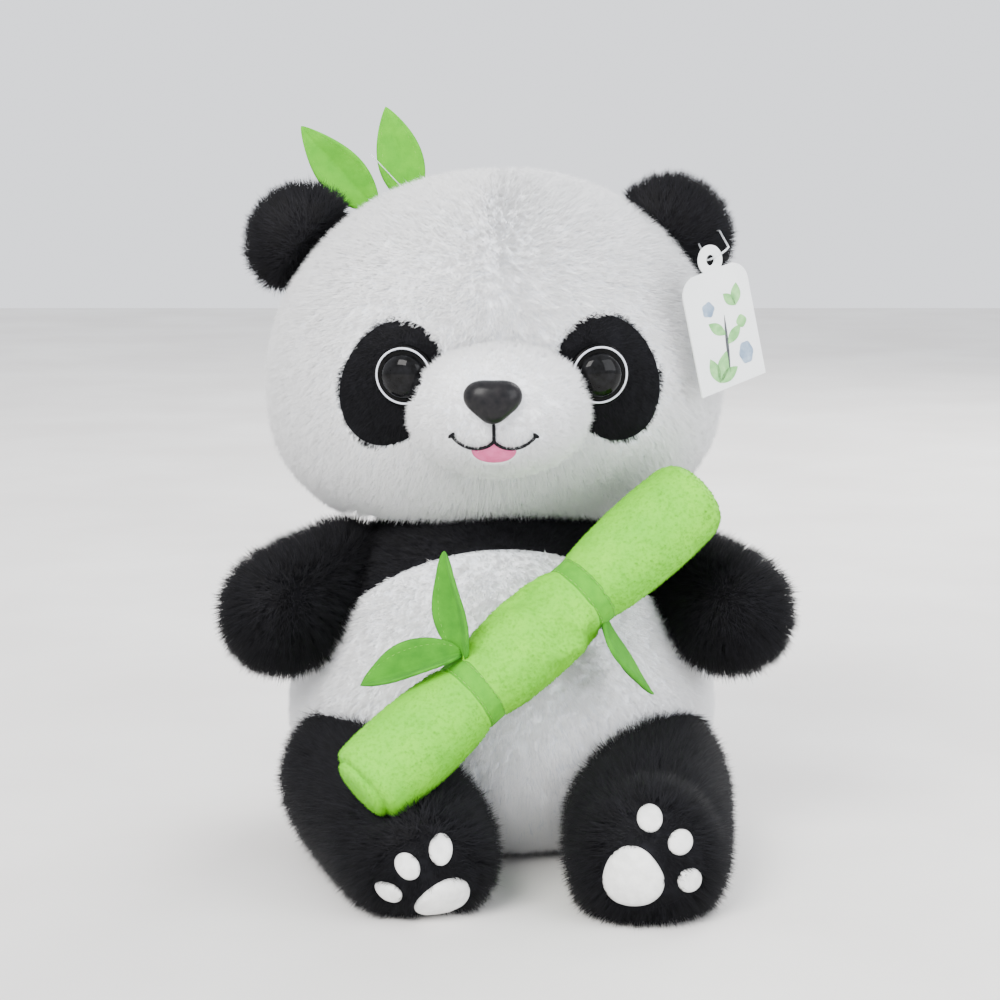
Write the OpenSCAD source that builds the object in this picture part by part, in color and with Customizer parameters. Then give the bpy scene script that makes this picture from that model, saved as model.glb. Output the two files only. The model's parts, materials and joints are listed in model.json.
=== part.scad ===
// Sitting plush panda with a stuffed bamboo stalk, two leaves on its head and a hang tag.
// Millimetres. +Z is up, the panda faces -Y, and its own right side is -X.
// The origin is the centre of the flat seat, on the surface that the panda sits on.
// Fur stands on the covers and isn't part of these solids.

/* [Fabric] */
// Thickness of a plush cover with its backing
cover_t = 2; // [1.6:0.1:2.4]
// Thickness of the thin patches, soles and pads
patch_t = 1.4; // [1.2:0.1:1.6]
// Space between two pieces of one body
seam_gap = 0.2; // [0.2:0.05:0.3]
// Space between two pieces that move against each other
joint_gap = 0.7; // [0.6:0.1:0.9]

/* [Body] */
// Widest radius of the body
body_r = 86; // [84:0.5:87]
// Height of the body's widest ring
body_mid_z = 52; // [50:1:54]
// Height of the dome above the widest ring
body_dome_h = 98; // [96:1:99]
// Radius of the curved edge between the white belly and the black yoke
yoke_edge_r = 89.8; // [88:0.2:91]
// Height of the centre of that edge
yoke_edge_z = 37.2; // [36:0.2:38]
// Radius of the bag of pellets in the seat
pellet_bag_r = 40; // [30:1:44]
// Radius of the tail
tail_r = 15; // [12:1:17]

/* [Head] */
// Half of the head's width
head_half_w = 92.5; // [91:0.5:94]
// Radius of the head, seen from the side
head_r = 70; // [69:0.5:71]
// Height of the head's centre
head_z = 205; // [204:0.5:207]
// Lean of the head towards its own right side, in degrees
head_roll = 1.5; // [0:0.5:2]
// Half of the muzzle's width
muzzle_half_w = 35; // [33:0.5:36]
// Radius of the muzzle, seen from the side
muzzle_r = 25; // [24:0.5:25.5]
// Distance of each eye from the middle of the face
eye_x = 38.5; // [37.5:0.5:39.5]
// Radius of an eye's white ring
eye_ring_r = 11.6; // [11:0.1:12]
// Radius of an ear
ear_r = 20.5; // [19:0.5:21]
// Half of an ear's thickness
ear_half_t = 10; // [8:0.5:10.5]

/* [Arms and legs] */
// Radius of an arm at the shoulder
shoulder_r = 17; // [16:0.5:17]
// Radius of an arm at the paw
paw_r = 21; // [19:0.5:21]
// Radius of a leg at the hip
hip_r = 25; // [24:0.5:25]
// Radius of a leg at the foot
foot_r = 24.5; // [23:0.5:24.5]
// Radius of the sole
sole_r = 20; // [18:0.5:20.5]

/* [Bamboo] */
// Radius of the stalk where it is fullest
stalk_r = 16; // [15:0.5:16]
// Radius of the stalk at its ends
stalk_end_r = 12.6; // [12:0.2:13]
// Radius of the stalk under its bands
stalk_band_r = 13; // [12.5:0.1:13.2]
// Thickness of the stalk's cover
stalk_cover_t = 1.2; // [1:0.1:1.4]
// Width of a band
band_w = 9; // [7:0.5:10]
// Thickness of a leaf made of two layers of felt
leaf_t = 2; // [1.6:0.2:2.4]

/* [Hang tag] */
// Width of the card
tag_w = 34; // [30:1:36]
// Height of the card below its hole
tag_h = 52; // [46:1:54]
// Thickness of the card
tag_t = 0.8; // [0.6:0.1:1]
// Radius of the hole in the card
tag_hole_r = 2.2; // [2:0.1:2.5]

/* [Hidden] */
$fn = 64;

white = [0.93, 0.94, 0.95];
black = [0.07, 0.07, 0.08];
batting = [0.86, 0.85, 0.80];
pellet = [0.60, 0.60, 0.62];
plastic_dark = [0.13, 0.12, 0.12];
plastic_clear = [0.85, 0.87, 0.90];
pink = [0.93, 0.45, 0.55];
stalk_green = [0.60, 0.86, 0.22];
band_green = [0.38, 0.70, 0.16];
leaf_green = [0.52, 0.82, 0.25];
card = [0.94, 0.96, 0.96];

right = -1;
left = 1;
profile_steps = 20;
far = 300;
body_power = 2.4;
body_lower_h = 60;
head_power = 2.3;
muzzle_power = 2.1;
neck_z = 130;
head_shift_x = -1.5;
inner = -(cover_t + seam_gap);

muzzle_at = [0, -73, 186];
face_shift_x = -2;
eye_z = 197.8;
eye_yaw = 15;
eye_pitch = -6;
eye_dome_r = 9;
eye_dome_h = 3.5;
eye_base_r = eye_ring_r - 1.3;
eye_base_h = 1.8;
eye_lift = patch_t + 0.6;
shank_r = 2.2;
washer_r = 9;
washer_t = 1.5;
nose_washer_sink = 7.5;
washer_depth = 3.4;
patch_at = [43.5, 195.5];
patch_half = [19.5, 26];
patch_lean = 23;
nose_z = 192.4;
nose_y = -99.5;
mouth_arc_r = 9;
mouth_arc_at = [8, 184.2];
thread_w = 0.8;

ear_at = [79.5, 5, 251];
ear_gap = 2.9;

shoulder_at = [66, -12, 112];
// Space round the ball of an arm, so that the arm can rise
socket_gap = 2.2;
paw_at = [90, -38, 99.5];
hip_at = [60, -42, 28];
right_foot_at = [-33, -110, 20];
left_foot_at = [55, -115, 20];
// Space that the inner side of a leg leaves to the body, so that it can swing inwards
leg_clearance = 5;
// Sole directions: turn from straight ahead towards +X, and tilt up
right_sole_turn = [8, -15];
left_sole_turn = [3, 13];
// Direction of the toes on each sole, from the sole's own +X side
right_toe_angle = 132;
left_toe_angle = 34;

stalk_low = [-54, -128, 48.5];
stalk_high = [71.5, -65, 148.5];
band_places = [61.5, 115.5];
band_t = 1.2;
tack_share = 0.52;
tack_r = 1.5;
// Direction of the tack, from the stalk's axis to the belly, and where on that line it starts
tack_dir = [-0.106, 0.891, -0.442];
tack_from = 16.4;
tack_len = 2.7;

// Where the tail is sewn to the back, its direction, and how far its ball's centre is from the back
tail_at = [0, 83.3, 30];
tail_dir = [0, 0.937, -0.349];
tail_sink = 6;

tag_hole_at = [85, -48, 240];
tag_yaw = 35;
tag_lean = 13;
// The fastener is a loop with two round ends and two straight sides, from the ear down to the tag's hole
fastener_r = 5;
fastener_straight = 38;
fastener_wire_r = 0.4;
fastener_at = [88.3, -25.1, 244.8];
fastener_rise = 7;
fastener_tilt = -30;

stalk_len = norm(stalk_high - stalk_low);
stalk_dir = (stalk_high - stalk_low) / stalk_len;
segment_ends = [0, band_places[0] - band_w / 2, band_places[0] + band_w / 2,
                band_places[1] - band_w / 2, band_places[1] + band_w / 2, stalk_len];

function reversed(list) = [for (i = [len(list) - 1:-1:0]) list[i]];

// Half outline of a rounded form about the vertical axis: x is the radius and y the place on the axis
function ovoid_profile(half_w, r, power) = [
    for (i = [0:profile_steps]) let (t = 180 * i / profile_steps, c = cos(t))
        [r * pow(sin(t), 2 / power), -sign(c) * half_w * pow(abs(c), 2 / power)]];

// Half outline of the body, grown by the given amount
function body_profile(grow) = let (r = body_r + grow) concat(
    [[0, -grow]],
    [for (i = [0:profile_steps / 2]) let (z = -grow + (body_mid_z + grow) * 2 * i / profile_steps)
        [r * pow(1 - pow((body_mid_z - z) / (body_lower_h + grow), body_power), 1 / body_power), z]],
    [for (i = [1:profile_steps]) let (t = 90 * i / profile_steps)
        [r * cos(t), body_mid_z + (body_dome_h + grow) * sin(t)]]);

// Half outline of a limb from a root ball at the origin to an end ball up the axis
function limb_profile(root_r, end_r, span) = let (slope = asin((root_r - end_r) / span)) concat(
    [for (i = [0:profile_steps / 2]) let (t = -90 + (90 + slope) * 2 * i / profile_steps)
        [root_r * cos(t), root_r * sin(t)]],
    [for (i = [0:profile_steps / 2]) let (t = slope + (90 - slope) * 2 * i / profile_steps)
        [end_r * cos(t), span + end_r * sin(t)]]);

// Radius of the stalk at a place on its axis
function stalk_radius(z, ends, low_r, high_r) = let (u = (z - ends[0]) / (ends[1] - ends[0]))
    low_r + (high_r - low_r) * u + (stalk_r - (low_r + high_r) / 2) * pow(sin(180 * u), 0.75);

function stalk_segment(first, low_r, high_r, grow) = let (ends = [segment_ends[first], segment_ends[first + 1]])
    [for (i = [0:10]) let (z = ends[0] + (ends[1] - ends[0]) * i / 10)
        [stalk_radius(z, ends, low_r, high_r) + grow, z]];

function stalk_profile(grow) = concat(
    [[0, 0]],
    stalk_segment(0, stalk_end_r, stalk_band_r, grow),
    stalk_segment(2, stalk_band_r, stalk_band_r, grow),
    stalk_segment(4, stalk_band_r, stalk_end_r, grow),
    [[0, stalk_len]]);

// Turns +Z to a direction
module aim(direction) {
    rotate([0, acos(direction[2] / norm(direction)), atan2(direction[1], direction[0])]) children();
}

// Stands children up so that their flat outline faces the front: outline X stays X and outline Y is up
module facing_front() {
    rotate([90, 0, 0]) children();
}

module body_solid(grow) {
    rotate_extrude() polygon(body_profile(grow));
}

module body_skin() {
    rotate_extrude() polygon(concat(body_profile(0), reversed(body_profile(-cover_t))));
}

module head_place() {
    translate([head_shift_x, 0, neck_z]) rotate([0, -head_roll, 0]) translate([0, 0, -neck_z]) children();
}

module head_centre() {
    translate([0, 0, head_z]) rotate([0, 90, 0]) children();
}

module head_solid(grow) {
    head_centre() rotate_extrude() polygon(ovoid_profile(head_half_w + grow, head_r + grow, head_power));
}

module head_skin(low, high) {
    head_centre() rotate_extrude() polygon(concat(
        ovoid_profile(head_half_w + high, head_r + high, head_power),
        reversed(ovoid_profile(head_half_w + low, head_r + low, head_power))));
}

module muzzle_solid(grow) {
    translate(muzzle_at) rotate([0, 90, 0])
        rotate_extrude() polygon(ovoid_profile(muzzle_half_w + grow, muzzle_r + grow, muzzle_power));
}

module muzzle_skin(low, high) {
    translate(muzzle_at) rotate([0, 90, 0]) rotate_extrude() polygon(concat(
        ovoid_profile(muzzle_half_w + high, muzzle_r + high, muzzle_power),
        reversed(ovoid_profile(muzzle_half_w + low, muzzle_r + low, muzzle_power))));
}

// Puts children on the head's skin at an eye, with +Z pointing out of the face
module eye_place(side) {
    t = eye_x / head_half_w;
    skin_r = head_r * pow(1 - pow(t, head_power), 1 / head_power);
    drop = head_z - eye_z;
    translate([side * eye_x, -sqrt(skin_r * skin_r - drop * drop), eye_z])
        rotate([90 - eye_pitch, 0, side * eye_yaw]) children();
}

module eye_clearance(side) {
    eye_place(side) translate([0, 0, -washer_depth]) cylinder(r = eye_ring_r + 0.6, h = far / 20);
}

module nose_place() {
    translate([face_shift_x, nose_y, nose_z]) rotate([90, 0, 0]) children();
}

module ear_disc(side, grow) {
    translate([side * ear_at[0], ear_at[1], ear_at[2]]) rotate([90, 0, 0])
        rotate_extrude() polygon(concat([[0, -ear_half_t - grow]],
            [for (i = [1:profile_steps - 1]) let (t = -90 + 180 * i / profile_steps)
                [(ear_r + grow) * pow(cos(t), 0.8), (ear_half_t + grow) * sin(t)]],
            [[0, ear_half_t + grow]]));
}

module limb(from, to, root_r, end_r, grow) {
    translate(from) aim(to - from)
        rotate_extrude() polygon(limb_profile(root_r + grow, end_r + grow, norm(to - from)));
}

function mirrored(side, at) = [side * at[0], at[1], at[2]];

module arm(side, grow) {
    shoulder = mirrored(side, shoulder_at);
    difference() {
        limb(shoulder, mirrored(side, paw_at), shoulder_r, paw_r, grow);
        difference() {
            body_solid(joint_gap);
            translate(shoulder) sphere(r = shoulder_r + joint_gap / 2);
        }
    }
}

module leg_limb(side, foot, grow) {
    limb(mirrored(side, hip_at), foot, hip_r, foot_r, grow);
}

// A leg gives way to the body by its swing clearance, except for the ball at its hip
module leg(side, foot, grow) {
    difference() {
        leg_limb(side, foot, grow);
        difference() {
            body_solid(leg_clearance);
            translate(mirrored(side, hip_at)) sphere(r = hip_r + joint_gap / 2);
        }
        translate([-far / 2, -far, min(-grow, cover_t + seam_gap) - far]) cube([far, far, far]);
    }
}

module leg_sockets(side, grow) {
    translate(mirrored(side, hip_at)) sphere(r = hip_r + joint_gap + grow);
}

// Puts children at a foot's centre with +Z out of the sole and +X towards the toes
module sole_place(foot, turn, toe_angle) {
    translate(foot) rotate([90 - turn[1], 0, turn[0]]) rotate([0, 0, toe_angle]) children();
}

module above_floor() {
    intersection() {
        children();
        translate([-far / 2, -far, 0]) cube([far, far, far]);
    }
}

module sole(foot, turn, toe_angle) {
    above_floor() intersection() {
        translate(foot) difference() {
            sphere(r = foot_r + seam_gap + patch_t);
            sphere(r = foot_r + seam_gap);
        }
        sole_place(foot, turn, toe_angle) cylinder(r = sole_r, h = far);
    }
}

module paw_pads(foot, turn, toe_angle) {
    pads_r = foot_r + patch_t + 2 * seam_gap;
    above_floor() intersection() {
        translate(foot) difference() {
            sphere(r = pads_r + patch_t);
            sphere(r = pads_r);
        }
        sole_place(foot, turn, toe_angle) {
            translate([-8, 0, 0]) cylinder(r = 9.6, h = far);
            for (fan = [-38, 0, 38])
                translate([-8 + 18.5 * cos(fan), 18.5 * sin(fan), 0]) cylinder(r = 4.6, h = far);
        }
    }
}

module stalk_place() {
    translate(stalk_low) aim(stalk_dir) children();
}

module stalk_solid(grow) {
    stalk_place() rotate_extrude() polygon(stalk_profile(grow));
}

module band(place) {
    stalk_place() translate([0, 0, place - band_w / 2 + seam_gap]) difference() {
        cylinder(r = stalk_band_r + seam_gap + band_t, h = band_w - 2 * seam_gap);
        translate([0, 0, -1]) cylinder(r = stalk_band_r + seam_gap, h = band_w + 2);
    }
}

// A pointed leaf of the given length and width, standing on its base with its face to the front
module leaf(length, width) {
    r = (length * length / 4 + width * width / 4) / width;
    translate([0, leaf_t / 2, length / 2]) facing_front() linear_extrude(leaf_t) intersection() {
        translate([r - width / 2, 0]) circle(r);
        translate([width / 2 - r, 0]) circle(r);
    }
}

// Stands a leaf on a base point, aimed at its tip, and turned about its own length
module leaf_at(base, tip, width, turn) {
    translate(base) aim(tip - base) rotate([0, 0, turn]) leaf(norm(tip - base), width);
}

module body_cover_white() {
    color(white) difference() {
        intersection() {
            body_skin();
            translate([0, far / 2, yoke_edge_z]) facing_front() cylinder(r = yoke_edge_r, h = far);
        }
        head_place() head_solid(joint_gap);
        for (side = [right, left]) {
            translate(mirrored(side, shoulder_at)) sphere(r = shoulder_r + socket_gap);
            leg_sockets(side, 0);
        }
    }
}

module body_yoke_black() {
    color(black) difference() {
        body_skin();
        translate([0, far / 2, yoke_edge_z]) facing_front() cylinder(r = yoke_edge_r + seam_gap, h = far);
        head_place() head_solid(joint_gap);
        for (side = [right, left])
            translate(mirrored(side, shoulder_at)) sphere(r = shoulder_r + socket_gap);
    }
}

module body_stuffing() {
    color(batting) difference() {
        body_solid(inner);
        head_place() head_solid(joint_gap + cover_t);
        for (side = [right, left]) {
            translate(mirrored(side, shoulder_at)) sphere(r = shoulder_r + socket_gap + cover_t);
            leg_sockets(side, cover_t);
        }
        pellet_bag_form(seam_gap);
    }
}

module pellet_bag_form(grow) {
    translate([0, 0, 15]) rotate_extrude()
        polygon(concat(
            [for (i = [0:profile_steps]) let (t = -90 + 180 * i / profile_steps)
                [(pellet_bag_r + grow) * pow(cos(t), 0.5), (10 + grow) * sin(t)]]));
}

module pellet_bag() {
    color(pellet) pellet_bag_form(0);
}

// Half outline of the tail about its own axis, with the flat that is sewn to the back at zero
module tail_half(grow) {
    intersection() {
        translate([0, tail_sink]) circle(tail_r + grow);
        translate([0, -grow]) square(3 * tail_r);
    }
}

module tail_place() {
    translate(tail_at) aim(tail_dir) children();
}

module tail_cover() {
    color(black) tail_place() rotate_extrude() difference() {
        tail_half(0);
        tail_half(-cover_t);
    }
}

module tail_stuffing() {
    color(batting) tail_place() rotate_extrude() tail_half(inner);
}

module bamboo_tack() {
    color(white) translate(stalk_low + tack_share * stalk_len * stalk_dir) aim(tack_dir)
        translate([0, 0, tack_from]) cylinder(r = tack_r, h = tack_len);
}

module head_cover() {
    color(white) head_place() difference() {
        head_skin(-cover_t, 0);
        for (side = [right, left])
            eye_place(side) translate([0, 0, -far / 20]) cylinder(r = shank_r + seam_gap, h = far / 10);
    }
}

module head_stuffing() {
    color(batting) head_place() difference() {
        head_solid(inner);
        for (side = [right, left])
            eye_place(side) translate([0, 0, -far / 20]) cylinder(r = washer_r + seam_gap, h = far / 10);
    }
}

module muzzle_cover() {
    color(white) head_place() difference() {
        muzzle_skin(-cover_t, 0);
        head_solid(seam_gap);
        for (side = [right, left]) eye_clearance(side);
        nose_place() translate([0, 0, -far / 10]) cylinder(r = shank_r + seam_gap, h = far / 10);
    }
}

module muzzle_stuffing() {
    color(batting) head_place() difference() {
        muzzle_solid(inner);
        head_solid(seam_gap);
        for (side = [right, left]) eye_clearance(side);
        nose_place() translate([0, 0, -far / 20]) cylinder(r = washer_r + seam_gap, h = far / 20);
    }
}

module eye_patch(side) {
    color(black) head_place() difference() {
        intersection() {
            head_skin(seam_gap, seam_gap + patch_t);
            translate([side * patch_at[0], 0, patch_at[1]]) facing_front() rotate([0, 0, side * patch_lean])
                linear_extrude(far) polygon([for (t = [0:15:345])
                    [patch_half[0] * cos(t), patch_half[1] * sin(t)]]);
        }
        muzzle_solid(seam_gap);
        eye_place(side) translate([0, 0, -far / 20]) cylinder(r = shank_r + seam_gap, h = far / 10);
    }
}

module right_eye_patch() { eye_patch(right); }
module left_eye_patch() { eye_patch(left); }

module eye(side) {
    ball_r = (eye_dome_r * eye_dome_r + eye_dome_h * eye_dome_h) / (2 * eye_dome_h);
    color(plastic_dark) head_place() eye_place(side) {
        translate([0, 0, eye_lift]) cylinder(r = eye_base_r, h = eye_base_h);
        translate([0, 0, -far / 25]) cylinder(r = shank_r, h = far / 25 + eye_lift + eye_base_h);
        intersection() {
            translate([0, 0, eye_lift + eye_base_h + eye_dome_h - ball_r]) sphere(r = ball_r);
            translate([0, 0, eye_lift]) cylinder(r = eye_base_r, h = far / 20);
        }
    }
}

module right_eye() { eye(right); }
module left_eye() { eye(left); }

module eye_ring(side) {
    color(white) head_place() eye_place(side) translate([0, 0, eye_lift]) difference() {
        cylinder(r = eye_ring_r, h = eye_base_h);
        translate([0, 0, -1]) cylinder(r = eye_base_r + seam_gap, h = eye_base_h + 2);
    }
}

module right_eye_ring() { eye_ring(right); }
module left_eye_ring() { eye_ring(left); }

module washer() {
    translate([0, 0, -washer_depth - washer_t]) difference() {
        cylinder(r = washer_r, h = washer_t);
        translate([0, 0, -1]) cylinder(r = shank_r + seam_gap, h = washer_t + 2);
    }
}

module eye_washers() {
    color(plastic_clear) head_place() for (side = [right, left]) eye_place(side) washer();
}

module nose() {
    color(plastic_dark) head_place() nose_place() {
        hull() {
            for (side = [right, left]) translate([side * 7.3, 4.3, 0.6]) sphere(r = 4, $fn = 24);
            translate([0, 4.8, 1.2]) sphere(r = 4.2, $fn = 24);
            translate([0, -4.8, 0.4]) sphere(r = 3.8, $fn = 24);
        }
        translate([0, 0, -far / 20]) cylinder(r = shank_r, h = far / 20);
    }
}

module nose_washer() {
    color(plastic_clear) head_place() nose_place() translate([0, 0, -nose_washer_sink]) washer();
}

module mouth_outline() {
    intersection() {
        for (side = [right, left]) translate([side * mouth_arc_at[0], mouth_arc_at[1]]) difference() {
            circle(mouth_arc_r);
            circle(mouth_arc_r - thread_w);
        }
        translate([-15.9, mouth_arc_at[1] - 12]) square([31.8, 8]);
    }
    translate([-thread_w / 2, mouth_arc_at[1] - 4]) square([thread_w, 4]);
}

module mouth_embroidery() {
    color(black) head_place() intersection() {
        muzzle_skin(seam_gap, seam_gap + thread_w);
        translate([face_shift_x, muzzle_at[1], 0]) facing_front() linear_extrude(far) mouth_outline();
    }
}

module tongue() {
    color(pink) head_place() intersection() {
        muzzle_skin(seam_gap, seam_gap + thread_w);
        translate([face_shift_x, muzzle_at[1], 0]) facing_front() linear_extrude(far) difference() {
            translate([0, 177.3]) circle(8.3);
            for (side = [right, left])
                translate([side * mouth_arc_at[0], mouth_arc_at[1]]) circle(mouth_arc_r + seam_gap);
            translate([-10, mouth_arc_at[1] - 6]) square([20, 12]);
        }
    }
}

module ear_seam(side) {
    color(black) head_place() intersection() {
        head_skin(seam_gap, ear_gap - 0.6);
        translate([side * ear_at[0], ear_at[1] + 1.3, ear_at[2]]) facing_front()
            cylinder(r = ear_r - 1.5, h = 2.6);
    }
}

module right_ear_seam() { ear_seam(right); }
module left_ear_seam() { ear_seam(left); }

module leaf_thread() {
    color(plastic_clear) head_place() difference() {
        translate([-35.5, 16, 267]) aim([-17, -2, 19]) cylinder(r = 0.25, h = 24);
        head_solid(seam_gap);
    }
}

module ear_cover(side) {
    color(black) head_place() difference() {
        ear_disc(side, 0);
        ear_disc(side, -cover_t);
        head_solid(ear_gap);
        if (side == left) fastener_place() fastener_end(fastener_wire_r + 0.4);
    }
}

module right_ear_cover() { ear_cover(right); }
module left_ear_cover() { ear_cover(left); }

module ear_stuffing(side) {
    color(batting) head_place() difference() {
        ear_disc(side, inner);
        head_solid(ear_gap);
        if (side == left) fastener_place() fastener_end(fastener_wire_r + 0.4);
    }
}

module right_ear_stuffing() { ear_stuffing(right); }
module left_ear_stuffing() { ear_stuffing(left); }

module fastener_place() {
    translate(fastener_at) rotate([fastener_rise, 0, 0]) rotate([0, fastener_tilt, 0]) children();
}

module fastener_end(wire_r) {
    translate([0, fastener_straight / 2, 0]) rotate_extrude(angle = 180) translate([fastener_r, 0])
        circle(wire_r, $fn = 24);
}

module tag_fastener() {
    color(plastic_clear) head_place() fastener_place() {
        fastener_end(fastener_wire_r);
        rotate([0, 0, 180]) fastener_end(fastener_wire_r);
        for (side = [right, left])
            translate([side * fastener_r, -fastener_straight / 2, 0]) rotate([-90, 0, 0])
                cylinder(r = fastener_wire_r, h = fastener_straight, $fn = 24);
    }
}

module hang_tag() {
    color(card) head_place() translate(tag_hole_at) rotate([0, 0, tag_yaw]) rotate([0, -tag_lean, 0])
        translate([0, tag_t / 2, 0]) facing_front() linear_extrude(tag_t) difference() {
            union() {
                circle(6);
                translate([-tag_w / 2, -tag_h]) square([tag_w, tag_h - 12]);
                translate([-tag_w / 2 + 6, -tag_h]) square([tag_w - 12, tag_h - 4]);
                for (side = [right, left]) translate([side * (tag_w / 2 - 8), -12]) circle(8);
            }
            circle(tag_hole_r);
        }
}

module head_leaf_outer() {
    color(leaf_green) head_place() leaf_at([-53, 20, 264.5], [-81, 20, 296.5], 16, 180);
}

module head_leaf_inner() {
    color(leaf_green) head_place() leaf_at([-36, 20, 270], [-44.5, 20, 304], 17, 180);
}

module arm_cover(side) {
    color(black) difference() {
        arm(side, 0);
        limb(mirrored(side, shoulder_at), mirrored(side, paw_at), shoulder_r, paw_r, -cover_t);
    }
}

module right_arm_cover() { arm_cover(right); }
module left_arm_cover() { arm_cover(left); }
module right_arm_stuffing() { color(batting) arm(right, inner); }
module left_arm_stuffing() { color(batting) arm(left, inner); }

module leg_cover(side, foot) {
    color(black) difference() {
        leg(side, foot, 0);
        difference() {
            leg_limb(side, foot, -cover_t);
            translate([-far / 2, -far, cover_t - far]) cube([far, far, far]);
        }
    }
}

module right_leg_cover() { leg_cover(right, right_foot_at); }
module left_leg_cover() { leg_cover(left, left_foot_at); }
module right_leg_stuffing() { color(batting) leg(right, right_foot_at, inner); }
module left_leg_stuffing() { color(batting) leg(left, left_foot_at, inner); }
module right_sole() { color(black) sole(right_foot_at, right_sole_turn, right_toe_angle); }
module left_sole() { color(black) sole(left_foot_at, left_sole_turn, left_toe_angle); }
module right_paw_pads() { color(white) paw_pads(right_foot_at, right_sole_turn, right_toe_angle); }
module left_paw_pads() { color(white) paw_pads(left_foot_at, left_sole_turn, left_toe_angle); }

module bamboo_cover() {
    color(stalk_green) stalk_place() rotate_extrude() polygon(concat(
        [for (point = stalk_profile(0)) if (point[0] > 0) point],
        reversed([for (point = stalk_profile(-stalk_cover_t)) if (point[0] > 0) point])));
}

module bamboo_stuffing() {
    color(batting) stalk_place() rotate_extrude() polygon(stalk_profile(-stalk_cover_t - seam_gap));
}

module bamboo_lower_end() {
    color(stalk_green) stalk_place() translate([0, 0, -seam_gap - stalk_cover_t])
        cylinder(r = stalk_end_r - 0.4, h = stalk_cover_t);
}

module bamboo_upper_end() {
    color(stalk_green) stalk_place() translate([0, 0, stalk_len + seam_gap]) rotate_extrude()
        polygon(concat([[0, 0]], [for (t = [0:10:90]) [(stalk_end_r - 0.4) * cos(t), 1 + 4 * sin(t)]]));
}

module bamboo_lower_band() { color(band_green) band(band_places[0]); }
module bamboo_upper_band() { color(band_green) band(band_places[1]); }

module bamboo_leaf_up() {
    color(band_green) leaf_at([-15.9, -110.7, 96.5], [-22, -106, 136], 13, 175);
}

module bamboo_leaf_side() {
    color(band_green) leaf_at([-19, -111.2, 96.2], [-55, -107, 82], 13, 50);
}

module bamboo_leaf_down() {
    color(band_green) leaf_at([40.2, -87.7, 104], [56, -93, 76], 12, 70);
}

body_cover_white();
body_yoke_black();
body_stuffing();
pellet_bag();
tail_cover();
tail_stuffing();
bamboo_tack();
head_cover();
head_stuffing();
muzzle_cover();
muzzle_stuffing();
right_eye_patch();
left_eye_patch();
right_eye();
left_eye();
right_eye_ring();
left_eye_ring();
eye_washers();
nose();
nose_washer();
mouth_embroidery();
tongue();
right_ear_seam();
left_ear_seam();
leaf_thread();
right_ear_cover();
right_ear_stuffing();
left_ear_cover();
left_ear_stuffing();
tag_fastener();
hang_tag();
head_leaf_outer();
head_leaf_inner();
right_arm_cover();
right_arm_stuffing();
left_arm_cover();
left_arm_stuffing();
right_leg_cover();
right_leg_stuffing();
right_sole();
right_paw_pads();
left_leg_cover();
left_leg_stuffing();
left_sole();
left_paw_pads();
bamboo_cover();
bamboo_stuffing();
bamboo_lower_end();
bamboo_upper_end();
bamboo_lower_band();
bamboo_upper_band();
bamboo_leaf_up();
bamboo_leaf_side();
bamboo_leaf_down();
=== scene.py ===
"""Looks of the sitting plush panda. Metres; +Z is up, the panda faces -Y and its own right side is -X."""

import json
import math

import bmesh
import bpy
import numpy as np
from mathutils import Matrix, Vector
from mathutils.bvhtree import BVHTree


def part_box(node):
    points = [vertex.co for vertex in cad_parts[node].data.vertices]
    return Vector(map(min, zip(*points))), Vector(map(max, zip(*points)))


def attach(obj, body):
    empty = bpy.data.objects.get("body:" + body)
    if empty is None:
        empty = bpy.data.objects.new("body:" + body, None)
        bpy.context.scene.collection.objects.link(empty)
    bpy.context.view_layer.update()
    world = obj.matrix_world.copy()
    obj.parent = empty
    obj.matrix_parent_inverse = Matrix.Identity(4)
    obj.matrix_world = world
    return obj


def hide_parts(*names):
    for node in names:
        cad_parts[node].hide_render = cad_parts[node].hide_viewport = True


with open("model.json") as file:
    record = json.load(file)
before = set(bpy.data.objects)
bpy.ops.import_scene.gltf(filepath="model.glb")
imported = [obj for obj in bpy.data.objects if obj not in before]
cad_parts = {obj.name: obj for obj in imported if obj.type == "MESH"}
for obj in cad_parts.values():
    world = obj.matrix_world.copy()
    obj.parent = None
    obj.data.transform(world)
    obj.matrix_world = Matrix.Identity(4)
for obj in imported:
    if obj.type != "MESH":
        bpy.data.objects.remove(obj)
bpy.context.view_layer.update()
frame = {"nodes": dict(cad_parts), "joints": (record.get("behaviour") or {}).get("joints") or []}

MM = 0.001
RIGHT, LEFT = -1, 1
SIDE_NAMES = {RIGHT: "right", LEFT: "left"}

# Camera, at the photograph's viewing angle
CAMERA_AT = (-0.0025, -1.0, 0.293)
CAMERA_DOWN_DEG = 8.77
CAMERA_LENS = 86.3

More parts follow.
